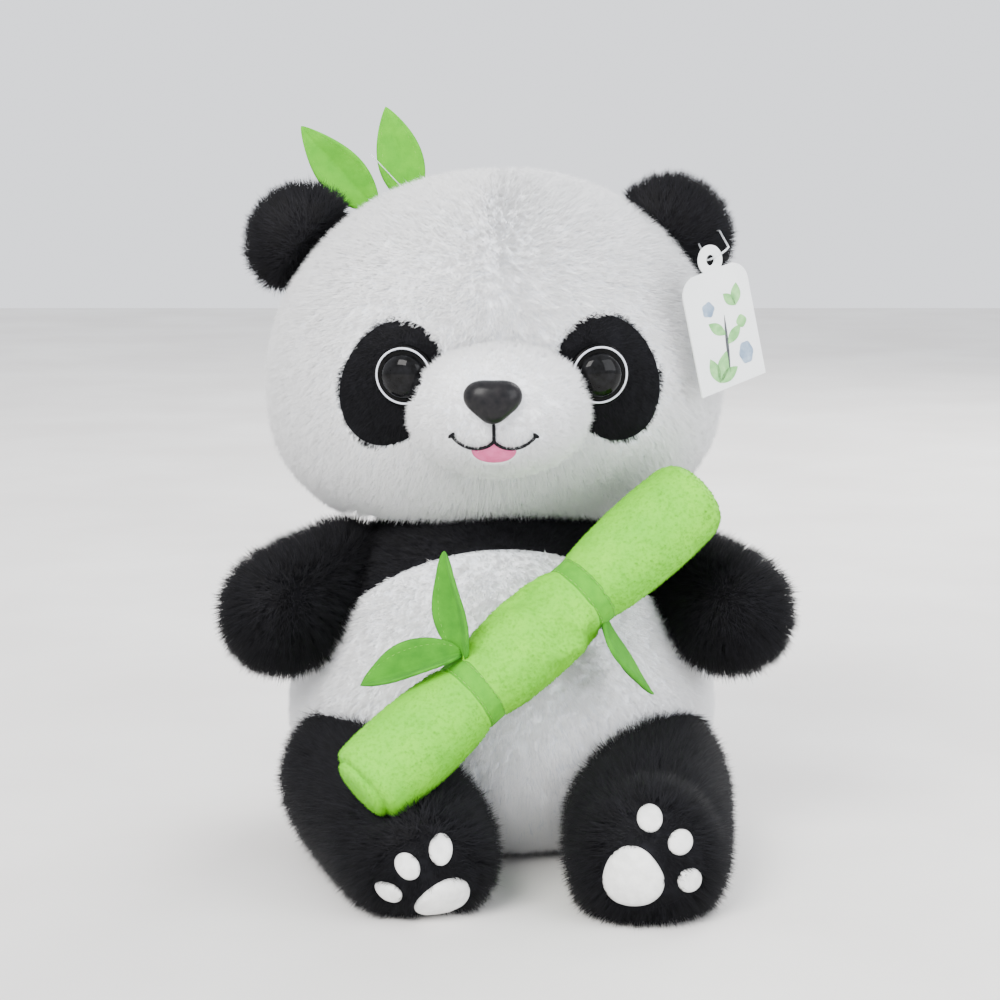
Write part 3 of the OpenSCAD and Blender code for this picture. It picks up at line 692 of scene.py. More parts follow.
def foot_form(side, points):
    """A rounder ball of the foot, with a crease behind it where the sole's seam draws the leg in."""
    centre, axis = sole_frame(side)
    depth = (centre - points) @ axis
    across = points - centre + depth[:, None] * axis
    bump = lambda middle: np.exp(-((depth - middle) / (6 * MM)) ** 2)
    swell = 0.05 * bump(5 * MM) - 0.09 * bump(19 * MM)
    upper = np.clip(across[:, 2] / (12 * MM), 0, 1)
    return points + across * (swell * upper)[:, None]


def stalk_radius(z):
    """Radius of the stalk's cloth: three puffed stretches, drawn in at the bands and the ends."""
    ends = [STALK_FROM, BAND_PLACES[0], BAND_PLACES[1], STALK_TO]
    for low, high in zip(ends, ends[1:]):
        if z <= high:
            u = (z - low) / (high - low)
            u = 0.12 + 0.88 * u if low == STALK_FROM else 0.84 * u if high == STALK_TO else u
            return 12.7 * MM + 3.9 * MM * max(math.sin(math.pi * u), 0) ** 0.62
    return 12.7 * MM


def stalk_skin():
    """The stalk's cloth before filling, with its bands and end seams held."""
    flat_end = [(0, STALK_FROM), (5 * MM, STALK_FROM), (9.5 * MM, STALK_FROM + 0.2 * MM)]
    rim = [(12.2 * MM, STALK_FROM + 1.2 * MM), (12.9 * MM, STALK_FROM + 2.6 * MM),
           (12.3 * MM, STALK_FROM + 3.8 * MM)]
    last = STALK_TO - 8 * MM
    side = [(stalk_radius(z), z) for z in np.linspace(STALK_FROM + 6 * MM, last, 44)]
    round_end = [(stalk_radius(last) * math.cos(t) ** 0.75, last + 8 * MM * math.sin(t))
                 for t in (0.4, 0.8, 1.1, 1.35)]
    skin = lathe("stalk_cloth", flat_end + rim + side + round_end + [(0, STALK_TO)], STALK_LOW, STALK_AXIS,
                 STALK_CLOTH, segments=36)
    height = (coordinates(skin) - STALK_LOW) @ STALK_AXIS
    held = height < STALK_FROM + 4.5 * MM
    for place in BAND_PLACES:
        held |= np.abs(height - place) < BAND_W / 2
    skin.vertex_groups.new(name="pin").add([int(i) for i in np.flatnonzero(held)], 1.0, "REPLACE")
    return skin


def limb_nodes(side, limb):
    word = SIDE_NAMES[side]
    return [f"{word}_{limb}_cover"] + ([f"{word}_sole"] if limb == "leg" else [])


def fuller(name, points):
    """Takes places on a limb's CAD form to the same places on its filled skin."""
    joint = next(np.array(j["pos_m"]) for j in frame["joints"] if j["name"].startswith(name))
    return joint + (points - joint) * np.array(LIMB_GROWTH[name]) + np.array(LIMB_SHIFT.get(name, (0, 0, 0)))


def make_skins():
    """Every stuffed skin, blown up by the cloth simulation and then kept out of its neighbours."""
    skins = {"head": wrapped_skin("head_skin", ["head_cover"], WHITE_BACKING),
             "body": wrapped_skin("body_skin", ["body_cover_white", "body_yoke_black"], WHITE_BACKING,
                                  smooth_steps=1),
             "muzzle": wrapped_skin("muzzle_skin", ["muzzle_cover", "muzzle_stuffing"], WHITE_BACKING),
             "tail": wrapped_skin("tail_skin", ["tail_cover"], BLACK_BACKING, level=3),
             "stalk": stalk_skin()}
    for side, word in SIDE_NAMES.items():
        for limb in ("ear", "arm", "leg"):
            skins[f"{word}_{limb}"] = wrapped_skin(f"{word}_{limb}_skin", limb_nodes(side, limb), BLACK_BACKING,
                                                   smooth_steps=2)
    fill_out({skin: STALK_SWELL if name == "stalk" else SKIN_SWELL for name, skin in skins.items()})
    for name, skin in skins.items():
        subdivide(skin, 2 if name in ("head", "body", "muzzle", "stalk") else 1)
    move_to(skins["head"], head_shape(coordinates(skins["head"])))
    places = coordinates(skins["body"])
    places[:, 0] *= sag(places)
    move_to(skins["body"], places)
    for name in LIMB_GROWTH:
        move_to(skins[name], fuller(name, coordinates(skins[name])))
    for side, word in SIDE_NAMES.items():
        foot = skins[f"{word}_leg"]
        move_to(foot, foot_form(side, coordinates(foot)))
    clear_of(skins["body"], skins["head"], HEAD_GAP)
    clear_of(skins["right_leg"], skins["stalk"], LIMB_GAP)
    for side, word in SIDE_NAMES.items():
        clear_of(skins[f"{word}_arm"], skins["body"], LIMB_GAP)
        clear_of(skins[f"{word}_leg"], skins["body"], LIMB_GAP)
        clear_of(skins[f"{word}_ear"], skins["head"], HEAD_GAP)
    clear_of(skins["tail"], skins["body"], TAIL_GAP)
    for skin in skins.values():
        places = coordinates(skin)
        places[:, 2] = np.maximum(places[:, 2], FLOOR_GAP)
        move_to(skin, places)
    return skins


def make_filling(skin, body, node, fill, depth=2.4 * MM, drawn_in=0.0):
    """The filling of a skin: its form at some depth inside it, or, where it's folded, drawn in to its middle."""
    mesh = skin.data.copy()
    mesh.name = node + "_batting"
    mesh.materials.clear()
    filling = add_object(mesh.name, mesh, BATTING)
    places, normals = vectors(mesh, "co"), vectors(mesh, "normal")
    inward = (places.mean(0) - places) * drawn_in if drawn_in else -normals * depth
    move_to(filling, places + inward)
    settle(filling, body, [node])


def stuffed(skin, body, slot, covers, stuffing, fill, **how):
    """Settles a skin and makes the filling in it."""
    settle(skin, body, covers)
    make_filling(skin, body, stuffing, fill, **how)


# ---------------------------------------------------------------- head

def patch_centre(side):
    return node_centre(f"{SIDE_NAMES[side]}_eye_patch") + np.array(PATCH_SHIFT[side])


def eye_frame(side):
    """Centre and outward axis of an eye's white ring."""
    centre, axis = disc_frame(f"{SIDE_NAMES[side]}_eye_ring")
    return centre + np.array(EYE_SHIFT[side]), axis


def patch_local(points, side):
    """Places in an eye patch's own frame, seen from the front: across it and up its long side."""
    offset = points - patch_centre(side)
    lean = math.radians(side * PATCH_LEAN_DEG - HEAD_ROLL_DEG)
    return (offset[:, 0] * math.cos(lean) + offset[:, 2] * math.sin(lean),
            -offset[:, 0] * math.sin(lean) + offset[:, 2] * math.cos(lean))


def patch_level(points, side):
    """Below 1 inside an eye patch, on the front of the head."""
    x, z = patch_local(points, side)
    wave = 1 + 0.03 * np.sin(5 * np.arctan2(z, x))
    level = np.hypot(x / PATCH_HALF[0], z / PATCH_HALF[1]) * wave
    return np.where(points[:, 1] < HEAD_MID[1], level, 9.0)


def over_eyes(points):
    over = [from_axis(points, *eye_frame(side))[1] < EYE_R for side in SIDE_NAMES]
    return (over[0] | over[1]) & (points[:, 1] < HEAD_MID[1])


def under_muzzle(points):
    """True where the muzzle pouch covers the head."""
    low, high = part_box("muzzle_cover")
    half = np.array(((high.x - low.x) / 2, (high.z - low.z) / 2, (high.z - low.z) / 2)) + MUZZLE_OVERLAP
    offset = (points - np.array([MUZZLE_MID[0], low.y + half[1] - MUZZLE_OVERLAP, MUZZLE_MID[2]])) / half
    return (offset ** 2).sum(1) < 1


def nearer_patch(points):
    return np.minimum(patch_level(points, RIGHT), patch_level(points, LEFT))


def seam_distance(points):
    """Distance from the seam that runs over the middle of the head."""
    lean = math.tan(math.radians(HEAD_ROLL_DEG))
    return np.abs(points[:, 0] - HEAD_MID[0] + (points[:, 2] - HEAD_MID[2]) * lean)


def head_comb(points, _):
    """The pile falls outwards from the middle seam and down."""
    out = np.zeros_like(points)
    out[:, 0] = 0.5 * np.tanh((points[:, 0] - HEAD_MID[0]) / (14 * MM))
    out[:, 2] = -0.8
    return out


def head_length(points):
    crease = 0.82 + 0.18 * np.clip(seam_distance(points) / (1.4 * MM), 0, 1)
    return crease * np.clip(0.6 + (nearer_patch(points) - 1) / 0.5 * 0.4, 0.6, 1.0)


def quarter_panels(middle):
    """The four panels that a plush ball is sewn from."""
    def panels(points):
        front, own_right = points[:, 1] < middle[1], points[:, 0] < middle[0]
        return {"front_right": front & own_right, "front_left": front & ~own_right,
                "back_right": ~front & own_right, "back_left": ~front & ~own_right}
    return panels


def through_tag(tips):
    """Strand tips that would stick through the hang tag."""
    height, away = from_axis(tips, *disc_frame("hang_tag"))
    return (height > -1.5 * MM) & (height < 12 * MM) & (away < 32 * MM)


def make_head(skin):
    stuffed(skin, "head", "white_plush", ["head_cover"], "head_stuffing", 0.9)
    plant("head_fur", "head", skin, "head", panels=quarter_panels(HEAD_MID),
          keep=lambda p, n: (nearer_patch(p) >= 1) & ~under_muzzle(p) & (p[:, 2] > HEAD_LOW[2] + 3 * MM),
          comb=head_comb, length_of=head_length, press=through_tag)
    tree = surface_tree(skin)
    for side, word in SIDE_NAMES.items():
        lean = math.radians(side * PATCH_LEAN_DEG - HEAD_ROLL_DEG)
        up = np.array([-math.sin(lean), 0, math.cos(lean)])
        half = PATCH_HALF - 0.4 * MM
        outline = lambda a: 1 / np.hypot(np.sin(a) / half[0], np.cos(a) / half[1])
        cloth = felt_patch(f"{word}_eye_patch_cloth", patch_centre(side), (0, -1, 0), up, outline,
                           0.5 * MM, tree, BLACK_BACKING)
        settle(cloth, "head", [f"{word}_eye_patch"])
        inside = lambda p, n: (patch_level(p, side) < 1) & ~over_eyes(p) & ~under_muzzle(p)
        from_eye = lambda p, n: unit(p - eye_frame(side)[0]) + np.array([0, 0, -0.8])
        by_rim = lambda p: np.clip(0.55 + (1 - patch_level(p, side)) / 0.35, 0.55, 1.0)
        plant(f"{word}_eye_patch_fur", "eye_patch", skin, "head", side, keep=inside, comb=from_eye,
              length_of=by_rim)


MOUTH_LOW, MOUTH_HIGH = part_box("mouth_embroidery")
MOUTH_X = (MOUTH_LOW.x + MOUTH_HIGH.x) / 2
MOUTH_HALF = (MOUTH_HIGH.x - MOUTH_LOW.x) / 2 - 0.3 * MM
MOUTH_JOINT = MOUTH_LOW.z + 1.9 * MM


def mouth_arc(t):
    """Height of the mouth from its joint (t = 0) to a corner (t = 1)."""
    return MOUTH_JOINT + 1.8 * MM * t - 4.0 * MM * (4 * t * (1 - t)) ** 0.75


def mouth_curve():
    """The embroidered mouth, seen from the front: a line down from the nose and two arcs with a tick each."""
    line = [(MOUTH_X, z) for z in np.linspace(MOUTH_HIGH.z - 1 * MM, MOUTH_JOINT, 10)]
    shares = (1 - np.cos(np.linspace(0, math.pi, 32))) / 2
    arcs = [[(MOUTH_X + side * MOUTH_HALF * t, mouth_arc(t)) for t in shares] for side in SIDE_NAMES]
    ticks = [[(MOUTH_X + side * (MOUTH_HALF + 0.9 * MM * t), mouth_arc(1) - 0.7 * MM * t) for t in (-1, 0, 1)]
             for side in SIDE_NAMES]
    return [line, *arcs, *ticks]


TONGUE_Z = MOUTH_JOINT - 4 * MM


def tongue_outline(angles):
    """Radius of the tongue about its middle: the mouth above, a half ellipse below."""
    reach = np.linspace(0, 12 * MM, 241)
    across, up = np.sin(angles)[:, None] * reach, np.cos(angles)[:, None] * reach
    below = (np.abs(across) / (8.7 * MM)) ** 2.2 + (np.maximum(-up, 0) / (5.9 * MM)) ** 2.2 < 1
    under_lip = TONGUE_Z + up < mouth_arc(np.clip(np.abs(across) / MOUTH_HALF, 0, 1))
    return reach[np.argmin(below & under_lip, axis=1)]


def on_front(tree, line, lift):
    """Projects a line seen from the front on to a skin."""
    places, normals = [], []
    for x, z in line:
        hit, normal, _, _ = tree.ray_cast(Vector((x, -0.3, z)), Vector((0, 1, 0)))
        places.append(np.array(hit + normal * lift))
        normals.append(np.array(normal))
    return places, normals


def make_muzzle(skin):
    stuffed(skin, "head", "white_plush", ["muzzle_cover"], "muzzle_stuffing", 0.9, depth=2 * MM)
    tree = surface_tree(skin)
    nose = node_centre("nose")
    curve = mouth_curve()
    mouth_points = np.array([p for line in curve for p in line])
    for i, line in enumerate(curve):
        places, normals = on_front(tree, line, 1.2 * MM)
        thread = dashes(f"mouth_stitches_{i + 1}", places, normals, 1.3 * MM, -0.9 * MM, 0.68 * MM, THREAD,
                        turn=0.4)
        settle(thread, "head", ["mouth_embroidery"] if i == 0 else [])
    tongue = felt_patch("tongue_patch", (MOUTH_X, node_centre("tongue")[1], TONGUE_Z), (0, -1, 0), (0, 0, 1),
                        tongue_outline, 1.0 * MM, tree, TONGUE_FELT)
    settle(tongue, "head", ["tongue"])

    def keep(p, _):
        off_nose = np.hypot((p[:, 0] - nose[0]) / (10.4 * MM), (p[:, 2] - nose[2]) / (7.2 * MM)) > 1
        to_mouth = np.sqrt(((p[:, None, [0, 2]] - mouth_points[None]) ** 2).sum(2)).min(1)
        across, up = p[:, 0] - MOUTH_X, p[:, 2] - TONGUE_Z
        on_tongue = np.hypot(across, up) < tongue_outline(np.arctan2(across, up)) + 0.2 * MM
        front = p[:, 1] < MUZZLE_SEAM_Y - 3 * MM
        return off_nose & ~over_eyes(p) & front & (to_mouth > 0.8 * MM) & ~on_tongue

    from_nose = lambda p, n: unit(p - nose) + np.array([0, 0.6, 0])
    by_nose = lambda p: np.clip(0.32 + np.linalg.norm(p - nose, axis=1) / (32 * MM), 0.4, 1.6)
    plant("muzzle_fur", "muzzle", skin, "head", keep=keep, comb=from_nose, length_of=by_nose)


def make_eyes():
    """Safety eyes: a black disc with a white ring printed round its glossy dome."""
    for side, word in SIDE_NAMES.items():
        centre, axis = eye_frame(side)
        base = centre - axis * 0.9 * MM
        disc = [(0, -1.5), (11.9, -1.5), (12.2, 0.6), (12.0, 1.2), (11.5, 1.5), (9.0, 1.6), (0, 1.6)]
        disc = lathe(f"{word}_eye_disc", [(r * MM, h * MM) for r, h in disc], base, axis, EYE_PLASTIC)
        settle(disc, "head")
        ring = [(0, 1.0), (10.55, 1.0), (10.6, 1.62), (10.75, 1.80), (11.0, 1.86), (11.25, 1.80), (11.4, 1.62),
                (11.4, 0.9), (0, 0.9)]
        ring = lathe(f"{word}_eye_white_ring", [(r * MM, h * MM) for r, h in reversed(ring)], base, axis,
                     EYE_RING)
        settle(ring, "head", [f"{word}_eye_ring"])
        dome = [(0, 0.5), (8.9, 0.5), (9.0, 1.7)] + [(8.7 * math.cos(t), 1.9 + 4.4 * math.sin(t))
                                                    for t in np.linspace(0.05, 1.5, 18)] + [(0, 6.3)]
        ball = lathe(f"{word}_eye_dome", [(r * MM, h * MM) for r, h in dome], base, axis, EYE_IRIS)
        settle(ball, "head", [f"{word}_eye"])


def nose_outline(angle):
    """Radius of the nose seen from the front: a rounded triangle, wide at the top."""
    return (9.5 - 0.44 * np.sin(angle) + 1.4 * np.cos(2 * angle) + 0.86 * np.sin(3 * angle)
            + 0.3 * np.cos(4 * angle)) * MM


def make_nose():
    """The nose button: a crowned rounded triangle, tipped up a little with the muzzle."""
    low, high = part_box("nose")
    middle = np.array(((low.x + high.x) / 2, low.y + 5.2 * MM, (low.z + high.z) / 2 + 0.2 * MM))
    bm = bmesh.new()
    bmesh.ops.create_icosphere(bm, subdivisions=5, radius=1)
    tip = math.radians(12)
    for v in bm.verts:
        x, y, z = v.co
        flat = min(math.hypot(x, z), 1)
        angle = math.atan2(z, x)
        reach = flat ** 0.9 * nose_outline(angle)
        across, up = reach * math.cos(angle), reach * math.sin(angle)
        depth = 5.6 * MM * (1 - flat ** 2.6) ** 0.6 * (1 if y < 0 else -0.5)
        v.co = middle + np.array((across, -depth * math.cos(tip) + up * math.sin(tip),
                                  up * math.cos(tip) + depth * math.sin(tip)))
    smooth(bm, 3)
    settle(finished(bm, "nose_button", NOSE_PLASTIC), "head", ["nose"])


def make_ears(skins):
    head = surface_tree(skins["head"])
    for side, word in SIDE_NAMES.items():
        ear = f"{word}_ear"
        stuffed(skins[ear], ear, "black_plush", [ear + "_cover"], ear + "_stuffing", 0.7, depth=1.6 * MM)
        middle = fuller(ear, node_centre(ear + "_cover"))
        plant(ear + "_fur", "ear", skins[ear], ear, side, keep=lambda p, n: apart(head, p, 2.2 * MM),
              comb=lambda p, n: unit(p - middle) + np.array([0.3 * side, 0, 0.5]))


# ---------------------------------------------------------------- body and limbs

def yoke_distance(points):
    """Distance past the yoke's edge, seen from the front: positive in the yoke."""
    past = np.hypot(points[:, 0] / sag(points), points[:, 2] - YOKE_EDGE_Z) - YOKE_EDGE_R
    return np.minimum(past, points[:, 2] - YOKE_LOWEST)


def under_stalk(points):
    """True in the stalk, which presses the pile under it flat."""
    start, end = STALK_LOW + STALK_AXIS * 4 * MM, STALK_LOW + STALK_AXIS * (STALK_TO - 9 * MM)
    axis = end - start
    t = np.clip((points - start) @ axis / (axis @ axis), 0, 1)
    return np.linalg.norm(points - start - t[:, None] * axis, axis=1) < STALK_R


def draw_seam(skin):
    """Moves the nearer end of each edge that crosses the yoke's seam on to it. Returns yoke_distance after that."""
    bm = bmesh.new()
    bm.from_mesh(skin.data)
    bmesh.ops.triangulate(bm, faces=bm.faces)
    bm.to_mesh(skin.data)
    bm.free()
    places = coordinates(skin)
    past = yoke_distance(places)
    ends = np.array([tuple(e.vertices) for e in skin.data.edges])
    ends = ends[past[ends[:, 0]] * past[ends[:, 1]] < 0]
    share = past[ends[:, 0]] / (past[ends[:, 0]] - past[ends[:, 1]])
    crossing = places[ends[:, 0]] + (places[ends[:, 1]] - places[ends[:, 0]]) * share[:, None]
    nearer = np.where(share < 0.5, ends[:, 0], ends[:, 1])
    step = np.linalg.norm(crossing - places[nearer], axis=1)
    for i in np.argsort(-step):
        places[nearer[i]] = crossing[i]
    move_to(skin, places)
    past[nearer] = 0
    return past


def split_body(skin):
    """Cuts the body's skin along the yoke's seam into a belly and a yoke, each a cloth with a thickness."""
    past = draw_seam(skin)
    out = []
    for name, mats, yoke in (("belly_skin", WHITE_BACKING, False), ("yoke_skin", BLACK_BACKING, True)):
        bm = bmesh.new()
        bm.from_mesh(skin.data)
        bm.faces.ensure_lookup_table()
        drop = [(sum(past[v.index] for v in f.verts) > 0) != yoke for f in bm.faces]
        bmesh.ops.delete(bm, geom=[f for f, d in zip(bm.faces, drop) if d], context="FACES")
        obj = finished(bm, name, mats)
        cloth = obj.modifiers.new("cloth", "SOLIDIFY")
        cloth.thickness = 1.6 * MM
        cloth.offset = -1
        out.append(obj)
    return out


def make_body(skins):
    skin = skins["body"]
    right_leg, left_leg = surface_tree(skins["right_leg"]), surface_tree(skins["left_leg"])
    off_legs = lambda p: apart(right_leg, p, 3 * MM) & apart(left_leg, p, 3 * MM)
    belly, yoke = split_body(skin)
    settle(belly, "body", ["body_cover_white"])
    settle(yoke, "body", ["body_yoke_black"])
    make_filling(skin, "body", "body_stuffing", 0.9)
    off_head = lambda p: (((p - HEAD_MID) / (HEAD_HALF + 2 * MM)) ** 2).sum(1) > 1
    off_floor = lambda p: p[:, 2] >= 2.5 * MM
    in_yoke = lambda p: yoke_distance(p) > 0
    common = dict(comb=lambda p, n: np.array([0, 0, -1.0]) + p * np.array([3.6, 0, 0]), press=under_stalk,
                  length_of=lambda p: np.clip(0.5 + np.abs(yoke_distance(p)) / (14 * MM), 0.5, 1))
    plant("belly_fur", "belly", skin, "body", panels=quarter_panels(np.zeros(3)),
          keep=lambda p, n: ~in_yoke(p) & off_head(p) & off_floor(p) & off_legs(p), **common)
    plant("yoke_fur", "yoke", skin, "body", keep=lambda p, n: in_yoke(p) & off_head(p), **common)
    bpy.data.objects.remove(skin)


def make_arms(skins):
    for side, word in SIDE_NAMES.items():
        arm = f"{word}_arm"
        stuffed(skins[arm], arm, "black_plush", [arm + "_cover"], arm + "_stuffing", 0.8, drawn_in=0.08)
        plant(arm + "_fur", "arm", skins[arm], arm, side, comb=lambda p, n: np.array([0.5 * side, -0.3, -1.0]),
              press=under_stalk)


def make_legs(skins):
    for side, word in SIDE_NAMES.items():
        leg = f"{word}_leg"
        stuffed(skins[leg], leg, "black_plush", [leg + "_cover"], leg + "_stuffing", 0.85, drawn_in=0.08)
        tree = surface_tree(skins[leg])
        centre, axis = sole_frame(side)
        sole = felt_patch(f"{word}_sole_cloth", centre, axis, (0, 0, 1), lambda a: np.full(len(a), SOLE_R),
                          0.5 * MM, tree, BLACK_BACKING)
        settle(sole, leg, [f"{word}_sole"])
        solids = [fuller(leg, solid) for solid in components(frame["nodes"][f"{word}_paw_pads"])]
        main = solids[0].mean(0)
        pads = []
        for i, solid in enumerate(solids):
            middle = solid.mean(0)
            radius = from_axis(solid, middle, axis)[1].max()
            if i == 0:
                up = np.mean([s.mean(0) for s in solids[1:]], 0) - main
                outline = lambda a: 0.94 * radius * (1 + 0.05 * np.cos(3 * a + math.pi) - 0.04 * np.cos(2 * a))
            else:
                radius *= 0.86
                up = middle - main
                outline = lambda a: radius * (1 + 0.05 * np.cos(2 * a))
            pads.append((middle, radius))
            pad = felt_patch(f"{word}_pad_{i + 1}", middle, axis, up, outline, 2.4 * MM, tree, PAD_FELT)
            settle(pad, leg, [f"{word}_paw_pads"] if i == 0 else [])

        def off_pads(p, _):
            good = p[:, 2] > 1.0 * MM
            for middle, radius in pads:
                height, away = from_axis(p, middle, axis)
                good &= (away > radius + 0.1 * MM) | (height < -10 * MM)
            return good

        def short_on_sole(p):
            height, away = from_axis(p, centre, axis)
            return np.where((away < SOLE_R) & (height > -12 * MM), SOLE_PILE_SHARE, 1.0)

        from_sole = lambda p, n: unit(p - centre + axis * 10 * MM) * 0.9 + np.array([0, 0, -0.5])
        plant(leg + "_fur", "leg", skins[leg], leg, side, keep=off_pads, comb=from_sole, length_of=short_on_sole,
              press=under_stalk)


def make_tail(skin):
    stuffed(skin, "body", "black_plush", ["tail_cover"], "tail_stuffing", 0.8)
    plant("tail_fur", "tail", skin, "body")


# ---------------------------------------------------------------- bamboo

def make_stalk(skin):
    stuffed(skin, "bamboo", "bamboo_plush", ["bamboo_cover", "bamboo_lower_end", "bamboo_upper_end"],
            "bamboo_stuffing", 0.9, depth=2 * MM)

    def off_bands(p, _):
        height = (p - STALK_LOW) @ STALK_AXIS
        return np.all([np.abs(height - place) > BAND_W / 2 for place in BAND_PLACES], 0)

    plant("stalk_nap", "stalk", skin, "bamboo", keep=off_bands, comb=lambda p, n: -STALK_AXIS + np.zeros_like(p))
    turn = Vector(STALK_AXIS).to_track_quat("Z", "Y").to_matrix()
    angles = np.linspace(0, 2 * math.pi, 120)
    outward = [np.array(turn @ Vector((math.cos(a), math.sin(a), 0))) for a in angles]
    for i, (node, place) in enumerate(zip(BANDS, BAND_PLACES)):
        half, r = BAND_W / 2, 13.4 * MM
        outline = [(r - 1.6 * MM, -half + 0.6 * MM), (r + 0.2 * MM, -half), (r + 1.0 * MM, -half + 0.5 * MM),
                   (r + 1.25 * MM, -half * 0.5), (r + 1.3 * MM, 0), (r + 1.25 * MM, half * 0.5),
                   (r + 1.0 * MM, half - 0.5 * MM), (r + 0.2 * MM, half), (r - 1.6 * MM, half - 0.6 * MM)]
        band = lathe(node + "_felt", [(0, -half + 0.6 * MM)] + outline + [(0, half - 0.6 * MM)],
                     STALK_LOW + STALK_AXIS * place, STALK_AXIS, BAND_FELT, segments=120)
        places = coordinates(band)
        ripple = 0.18 * MM * drift(places, 5 * MM, 7 + i)
        move_to(band, places + vectors(band.data, "normal") * ripple[:, None])
        settle(band, "bamboo", [node])
        for word, edge in (("lower", -1), ("upper", 1)):
            middle = STALK_LOW + STALK_AXIS * (place + edge * (half - 1.3 * MM))
            path = [middle + n * (r + 1.3 * MM) for n in outward]
            thread = dashes(f"{node}_stitches_{word}", path, outward, 1.7 * MM, 0.9 * MM, 0.16 * MM, LEAF_STITCH)
            settle(thread, "bamboo")


def leaf_frame(node, base_near):
    """Base, direction, width and facing of a leaf, from its CAD solid."""
    points = surface_samples(frame["nodes"][node], 8.0, 5)[0]
    middle = points.mean(0)
    along, across, facing = np.linalg.svd(points - middle, full_matrices=False)[2]
    reach = (points - middle) @ along
    ends = [middle + along * reach.min(), middle + along * reach.max()]
    if np.linalg.norm(ends[1] - base_near) < np.linalg.norm(ends[0] - base_near):
        ends.reverse()
    facing = facing if facing[1] < 0 else -facing
    width = np.ptp((points - middle) @ across)
    return ends[0], ends[1], width, facing


def half_width(u):
    """Outline of a leaf from base to tip, as a share of its half width."""
    return 0.16 * (1 - u) ** 6 + np.sin(math.pi * np.clip(u, 0, 1) ** 0.88) ** 0.8 * (1 - 0.12 * u)


def make_leaf(node, mats, base_near, slot, fold, curl, wider, root, twist=0.0, thickness=2.0 * MM):
    """A sewn leaf: folded along its vein, curled to its tip and twisted."""
    base, tip, width, facing = leaf_frame(node, base_near)
    width *= wider
    base = base - unit(tip - base) * root
    length = np.linalg.norm(tip - base)
    along = (tip - base) / length
    across = np.cross(along, facing)
    shares = np.linspace(0.0, 0.985, 34)
    steps = np.linspace(-1, 1, 17)

    def place(u, v, height):
        turn = twist * (u - 0.3)
        side = across * math.cos(turn) + facing * math.sin(turn)
        lift = facing * math.cos(turn) - across * math.sin(turn)
        half = width / 2 * half_width(u)
        trough = fold * half * (abs(v) ** 1.3)
        bend = curl * length * (u ** 2) + 0.35 * MM * math.sin(9 * u + 2 * v)
        return base + along * u * length + side * v * half + lift * (trough + bend + height)

    def surface(u, v, upper):
        vein = 0.30 * MM * math.exp(-(v / 0.07) ** 2)
        vein += 0.10 * MM * max(0, math.sin(30 * (u - 0.35 * abs(v)))) ** 6
        stitch = 0.22 * MM * math.exp(-((abs(v) - 0.72) / 0.06) ** 2)
        rim = 0.7 + 0.5 * math.exp(-((abs(v) - 0.88) / 0.09) ** 2)
        full = thickness / 2 * rim * (1 - v ** 10) ** 0.5 * min(1, 8 * (1 - u)) ** 0.5
        return place(u, v, upper * max(full - vein - stitch, 0.12 * MM if abs(v) < 0.999 else 0))

    rings = [[surface(u, v, 1) for v in steps] + [surface(u, v, -1) for v in steps[::-1][1:-1]] for u in shares]
    verts, faces = closed_strip(rings, place(0, 0, 0), place(1, 0, 0))
    leaf = mesh_object(node + "_felt", verts, faces, mats)
    settle(leaf, node, [node])
    for word, side in (("a", -1), ("b", 1)):
        path = [surface(u, side * 0.72, 1) for u in np.linspace(0.05, 0.95, 60)]
        thread = dashes(f"{node}_stitches_{word}", path, [facing] * len(path), 1.5 * MM, 0.8 * MM, 0.13 * MM,
                        LEAF_STITCH)
        settle(thread, node)


def make_leaves():
    for node, form in LEAVES.items():
        if node.startswith("head"):
            make_leaf(node, HEAD_LEAF, HEAD_MID, "head_leaf_fabric", **form)
        else:
            make_leaf(node, LEAF_FELT, (STALK_LOW + STALK_HIGH) / 2, "bamboo_felt", **form)


# ---------------------------------------------------------------- hang tag

def print_shape(name, centre, right, up, facing, outline, mats):
    """A flat printed shape on the card. Its outline is a list of (across, up) in mm, in the card's own frame."""
    flat = [centre + right * x * MM + up * y * MM for x, y in outline]
    top = [p + facing * 0.12 * MM for p in flat]
    low = [p - facing * 0.05 * MM for p in flat]
    middle = np.mean(flat, 0)
    verts, faces = closed_strip([low, top], middle - facing * 0.05 * MM, middle + facing * 0.12 * MM)
    return mesh_object(name, verts, faces, mats, smooth=False)


def leaf_outline(x, y, turn, length, width):
    """A leaf from its root at x, y, turned by degrees from lying to the right."""
    points = []
    a = math.radians(turn)
    for side, start in ((1, 0), (-1, 1)):
        for t in np.linspace(start, 1 - start, 12, endpoint=False):
            u, v = length * t, side * width / 2 * math.sin(math.pi * t) ** 0.9
            points.append((x + u * math.cos(a) - v * math.sin(a), y + u * math.sin(a) + v * math.cos(a)))
    return points


def round_outline(x, y, width, height, lobes, depth):
    """A blossom about x, y, with a number of lobes."""
    return [(x + width / 2 * math.cos(a) * (1 + depth * math.cos(lobes * a)),
             y + height / 2 * math.sin(a) * (1 + depth * math.cos(lobes * a)))
            for a in np.linspace(0, 2 * math.pi, 40, endpoint=False)]


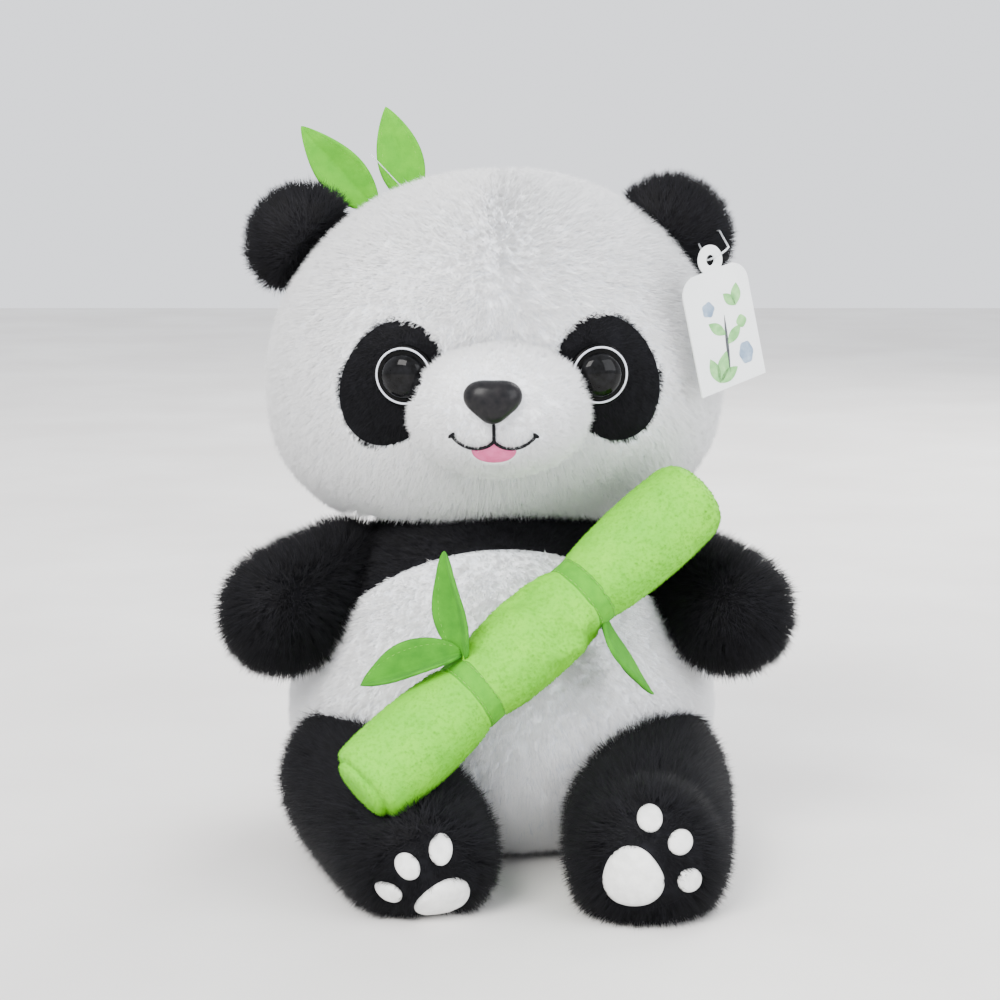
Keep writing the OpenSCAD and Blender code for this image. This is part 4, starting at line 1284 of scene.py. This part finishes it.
def make_tag():
    """Generic leaf print on the front of the card."""
    points = surface_samples(frame["nodes"]["hang_tag"], 3.0, 5)[0]
    centre = points.mean(0)
    axes = np.linalg.svd(points - centre, full_matrices=False)[2]
    up = axes[0] if axes[0][2] > 0 else -axes[0]
    facing = axes[2] if axes[2][1] < 0 else -axes[2]
    right = np.cross(up, facing)
    right = right if right[0] > 0 else -right
    front = centre + facing * ((points - centre) @ facing).max()
    shapes = {
        "leaf_1": (leaf_outline(-7, -22, 62, 13, 6), PRINT_GREEN),
        "leaf_2": (leaf_outline(-7, -22, 20, 11, 5), PRINT_GREEN),
        "leaf_3": (leaf_outline(-7, -22, 104, 11, 5), PRINT_GREEN),
        "leaf_4": (leaf_outline(8, 6, 75, 9, 5), PRINT_GREEN),
        "leaf_5": (leaf_outline(8, 6, 130, 8, 4), PRINT_GREEN),
        "stem": (leaf_outline(-1, -20, 84, 24, 1.4), PRINT_DARK),
        "leaf_6": (leaf_outline(0.5, -8, 35, 10, 4.5), PRINT_GREEN),
        "leaf_7": (leaf_outline(0.5, -4, 140, 10, 4.5), PRINT_GREEN),
        "badge_1": (round_outline(9, -14, 7, 9, 6, 0.05), PRINT_BLUE),
        "badge_2": (round_outline(-6, 8, 6, 6, 5, 0.08), PRINT_BLUE),
        "badge_3": (round_outline(9.5, -1, 5, 5, 4, 0.06), PRINT_GREEN)}
    for name, (outline, mats) in shapes.items():
        settle(print_shape(f"tag_print_{name}", front, right, up, facing, outline, mats), "tag")


# ---------------------------------------------------------------- what shows of the CAD model itself

CARRIED = {"stuffing": BATTING, "pellet": PELLETS, "washer": WASHER, "seam": THREAD, "tack": THREAD,
           "leaf_thread": NYLON, "fastener": NYLON, "hang_tag": CARD}


def dress_cad_nodes():
    """Materials for the CAD nodes that no visual piece stands for."""
    for name, obj in frame["nodes"].items():
        for word, mat in CARRIED.items():
            if word in name:
                obj.data.materials.clear()
                obj.data.materials.append(mat)


make_camera()
make_stage()
make_lights()
dress_cad_nodes()
skins = make_skins()
make_head(skins["head"])
make_muzzle(skins["muzzle"])
make_eyes()
make_nose()
make_ears(skins)
make_body(skins)
make_arms(skins)
make_legs(skins)
make_tail(skins["tail"])
make_stalk(skins["stalk"])
make_leaves()
make_tag()
